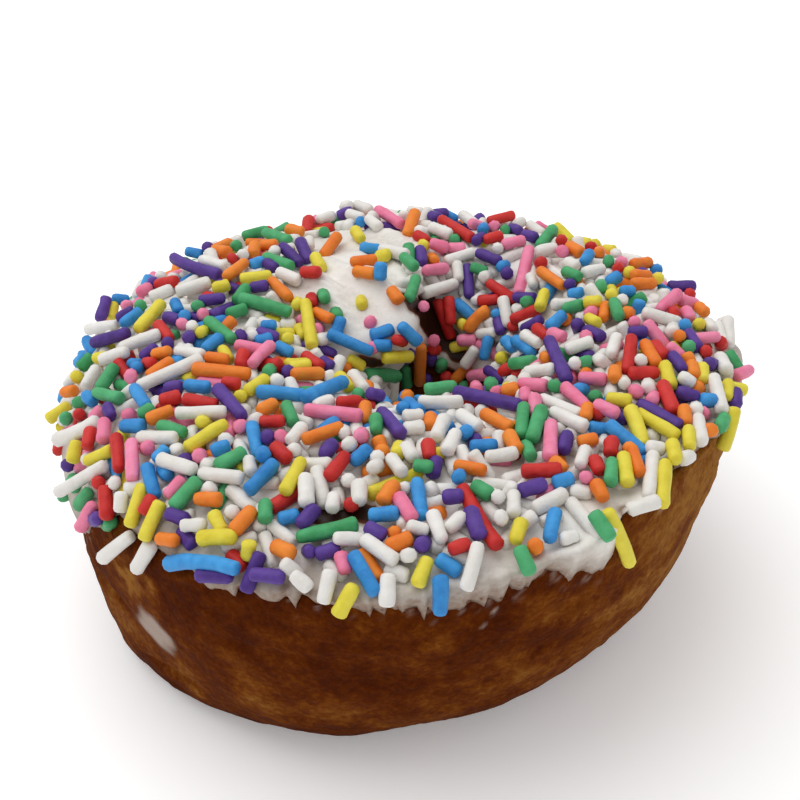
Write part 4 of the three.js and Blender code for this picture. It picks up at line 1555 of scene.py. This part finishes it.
def icing_material():
    material, tree, shader = new_material("icing")
    place = place_on(tree)
    broad = noise_of(tree, place, ICING_BROAD)
    colour = ramp_of(tree, broad, ICING_STOPS)
    ragged = noise_of(tree, place, ICING_RAGGED)
    film = sum_of(tree, 0.0, [(value_of(tree, "film"), 1.0, 0.0), (ragged, *FILM_RAGGED_EDGE)])
    # Tints by film: painted shade on the front band and in the valleys, thin icing, the crust's brown, and
    # painted shadow in the dark spots.
    for low, high, tint in FILM_AND_SHADE_TINTS:
        colour = mix_of(tree, span_of(tree, film, (low, high), (0, 1)), colour, (*tint, 1))
    roughness = span_of(tree, broad, NOISE_SPAN, ICING_ROUGHNESS)
    normal = bump_of(tree, noise_of(tree, place, ICING_FINE), ICING_BUMP)
    dress(tree, shader, colour, roughness, normal, ICING_GLOSS)
    return material


def pressed_sugar():
    """The group that every sugar rod's material uses: blotches between two colours, and fine lumps."""
    group = bpy.data.node_groups.new("pressed_sugar", "ShaderNodeTree")
    for way, kind, name in (
            ("INPUT", "Vector", "Place"), ("INPUT", "Float", "Tone"), ("INPUT", "Color", "Dark"),
            ("INPUT", "Color", "Light"), ("OUTPUT", "Color", "Colour"), ("OUTPUT", "Float", "Roughness"),
            ("OUTPUT", "Vector", "Normal")):
        group.interface.new_socket(name, in_out=way, socket_type="NodeSocket" + kind)
    given = group.nodes.new("NodeGroupInput").outputs
    blotch = noise_of(group, given["Place"], SUGAR_BLOTCH)
    shade = span_of(group, blotch, NOISE_SPAN, SUGAR_BLOTCHES)
    shade = multiply_add(group, given["Tone"], SUGAR_TONE, shade)
    lumps = bump_of(group, noise_of(group, given["Place"], SUGAR_LUMPS), SUGAR_LUMPS_BUMP)
    grain = noise_of(group, given["Place"], SUGAR_GRAIN)
    add_node(group, "NodeGroupOutput", {
        "Colour": mix_of(group, shade, given["Dark"], given["Light"]),
        "Roughness": span_of(group, blotch, NOISE_SPAN, SUGAR_ROUGHNESS),
        "Normal": bump_of(group, grain, SUGAR_GRAIN_BUMP, lumps)})
    return group


def rod_material(colour, sugar):
    material, tree, shader = new_material("sugar_" + colour)
    dark, light = ROD_COLOURS[colour]
    made = add_node(tree, "ShaderNodeGroup", {
        "Place": place_on(tree), "Tone": value_of(tree, "tone"),
        "Dark": (*dark, 1), "Light": (*light, 1)}, node_tree=sugar)
    dress(tree, shader, made["Colour"], made["Roughness"], made["Normal"], SUGAR_GLOSS)
    return material


def put_material(piece, material):
    piece.data.materials.clear()
    piece.data.materials.append(material)


# ---------------------------------------------------------------- floor and light
FLOOR_SIZE = 8.0
FLOOR_DROP = 0.0002
FLOOR_COLOUR = (0.97, 0.97, 0.97, 1)
FLOOR_ROUGHNESS = 0.9
FLOOR_GLOW = 0.2
TOP_LIGHT_PLACE = Vector((-0.22, 0.12, 0.72))
TOP_LIGHT_AIM = Vector((0, 0, 0.02))
TOP_LIGHT_SIZE = 0.9
TOP_LIGHT_POWER = 3.5
STUDIO_BRIGHTNESS = 0.65


def make_floor():
    deselect()
    bpy.ops.mesh.primitive_plane_add(size=FLOOR_SIZE, location=(0, 0, -FLOOR_DROP))
    floor = bpy.context.object
    floor.name = "floor"
    material, _, shader = new_material("floor")
    shader["Base Color"].default_value = FLOOR_COLOUR
    shader["Roughness"].default_value = FLOOR_ROUGHNESS
    shader["Emission Color"].default_value = (1, 1, 1, 1)
    shader["Emission Strength"].default_value = FLOOR_GLOW
    put_material(floor, material)


def make_light():
    data = bpy.data.lights.new("top_light", "AREA")
    data.shape = "DISK"
    data.size = TOP_LIGHT_SIZE
    data.energy = TOP_LIGHT_POWER
    light = bpy.data.objects.new("top_light", data)
    bpy.context.scene.collection.objects.link(light)
    light.location = TOP_LIGHT_PLACE
    light.rotation_euler = (TOP_LIGHT_AIM - TOP_LIGHT_PLACE).to_track_quat("-Z", "Y").to_euler()
    world = bpy.data.worlds.new("studio")
    world.use_nodes = True
    background = world.node_tree.nodes["Background"]
    background.inputs["Color"].default_value = (1.0, 1.0, 1.0, 1)
    background.inputs["Strength"].default_value = STUDIO_BRIGHTNESS
    bpy.context.scene.world = world
    bpy.context.scene.view_settings.view_transform = "Standard"


# ---------------------------------------------------------------- the scene
def main():
    make_camera()
    crust = make_crust()
    icing, outer = make_icing()
    put_material(crust, crust_material())
    put_material(icing, icing_material())
    draw = chance(5)
    placed, loose = placed_rods(draw), random_rods(icing, outer, draw)
    rods = {name: np.concatenate([placed[name], loose[name]]) for name in placed}
    ground = ground_tree(icing, outer, crust)
    settle(rods, ground)
    kept = ~stray(rods)
    rods = {name: values[kept] for name, values in rods.items()}
    let_down_loose(rods, ground)
    sugar = pressed_sugar()
    for colour, piece in zip(COLOURS, make_rods(rods, draw)):
        put_material(piece, rod_material(colour, sugar))
    make_floor()
    make_light()


main()
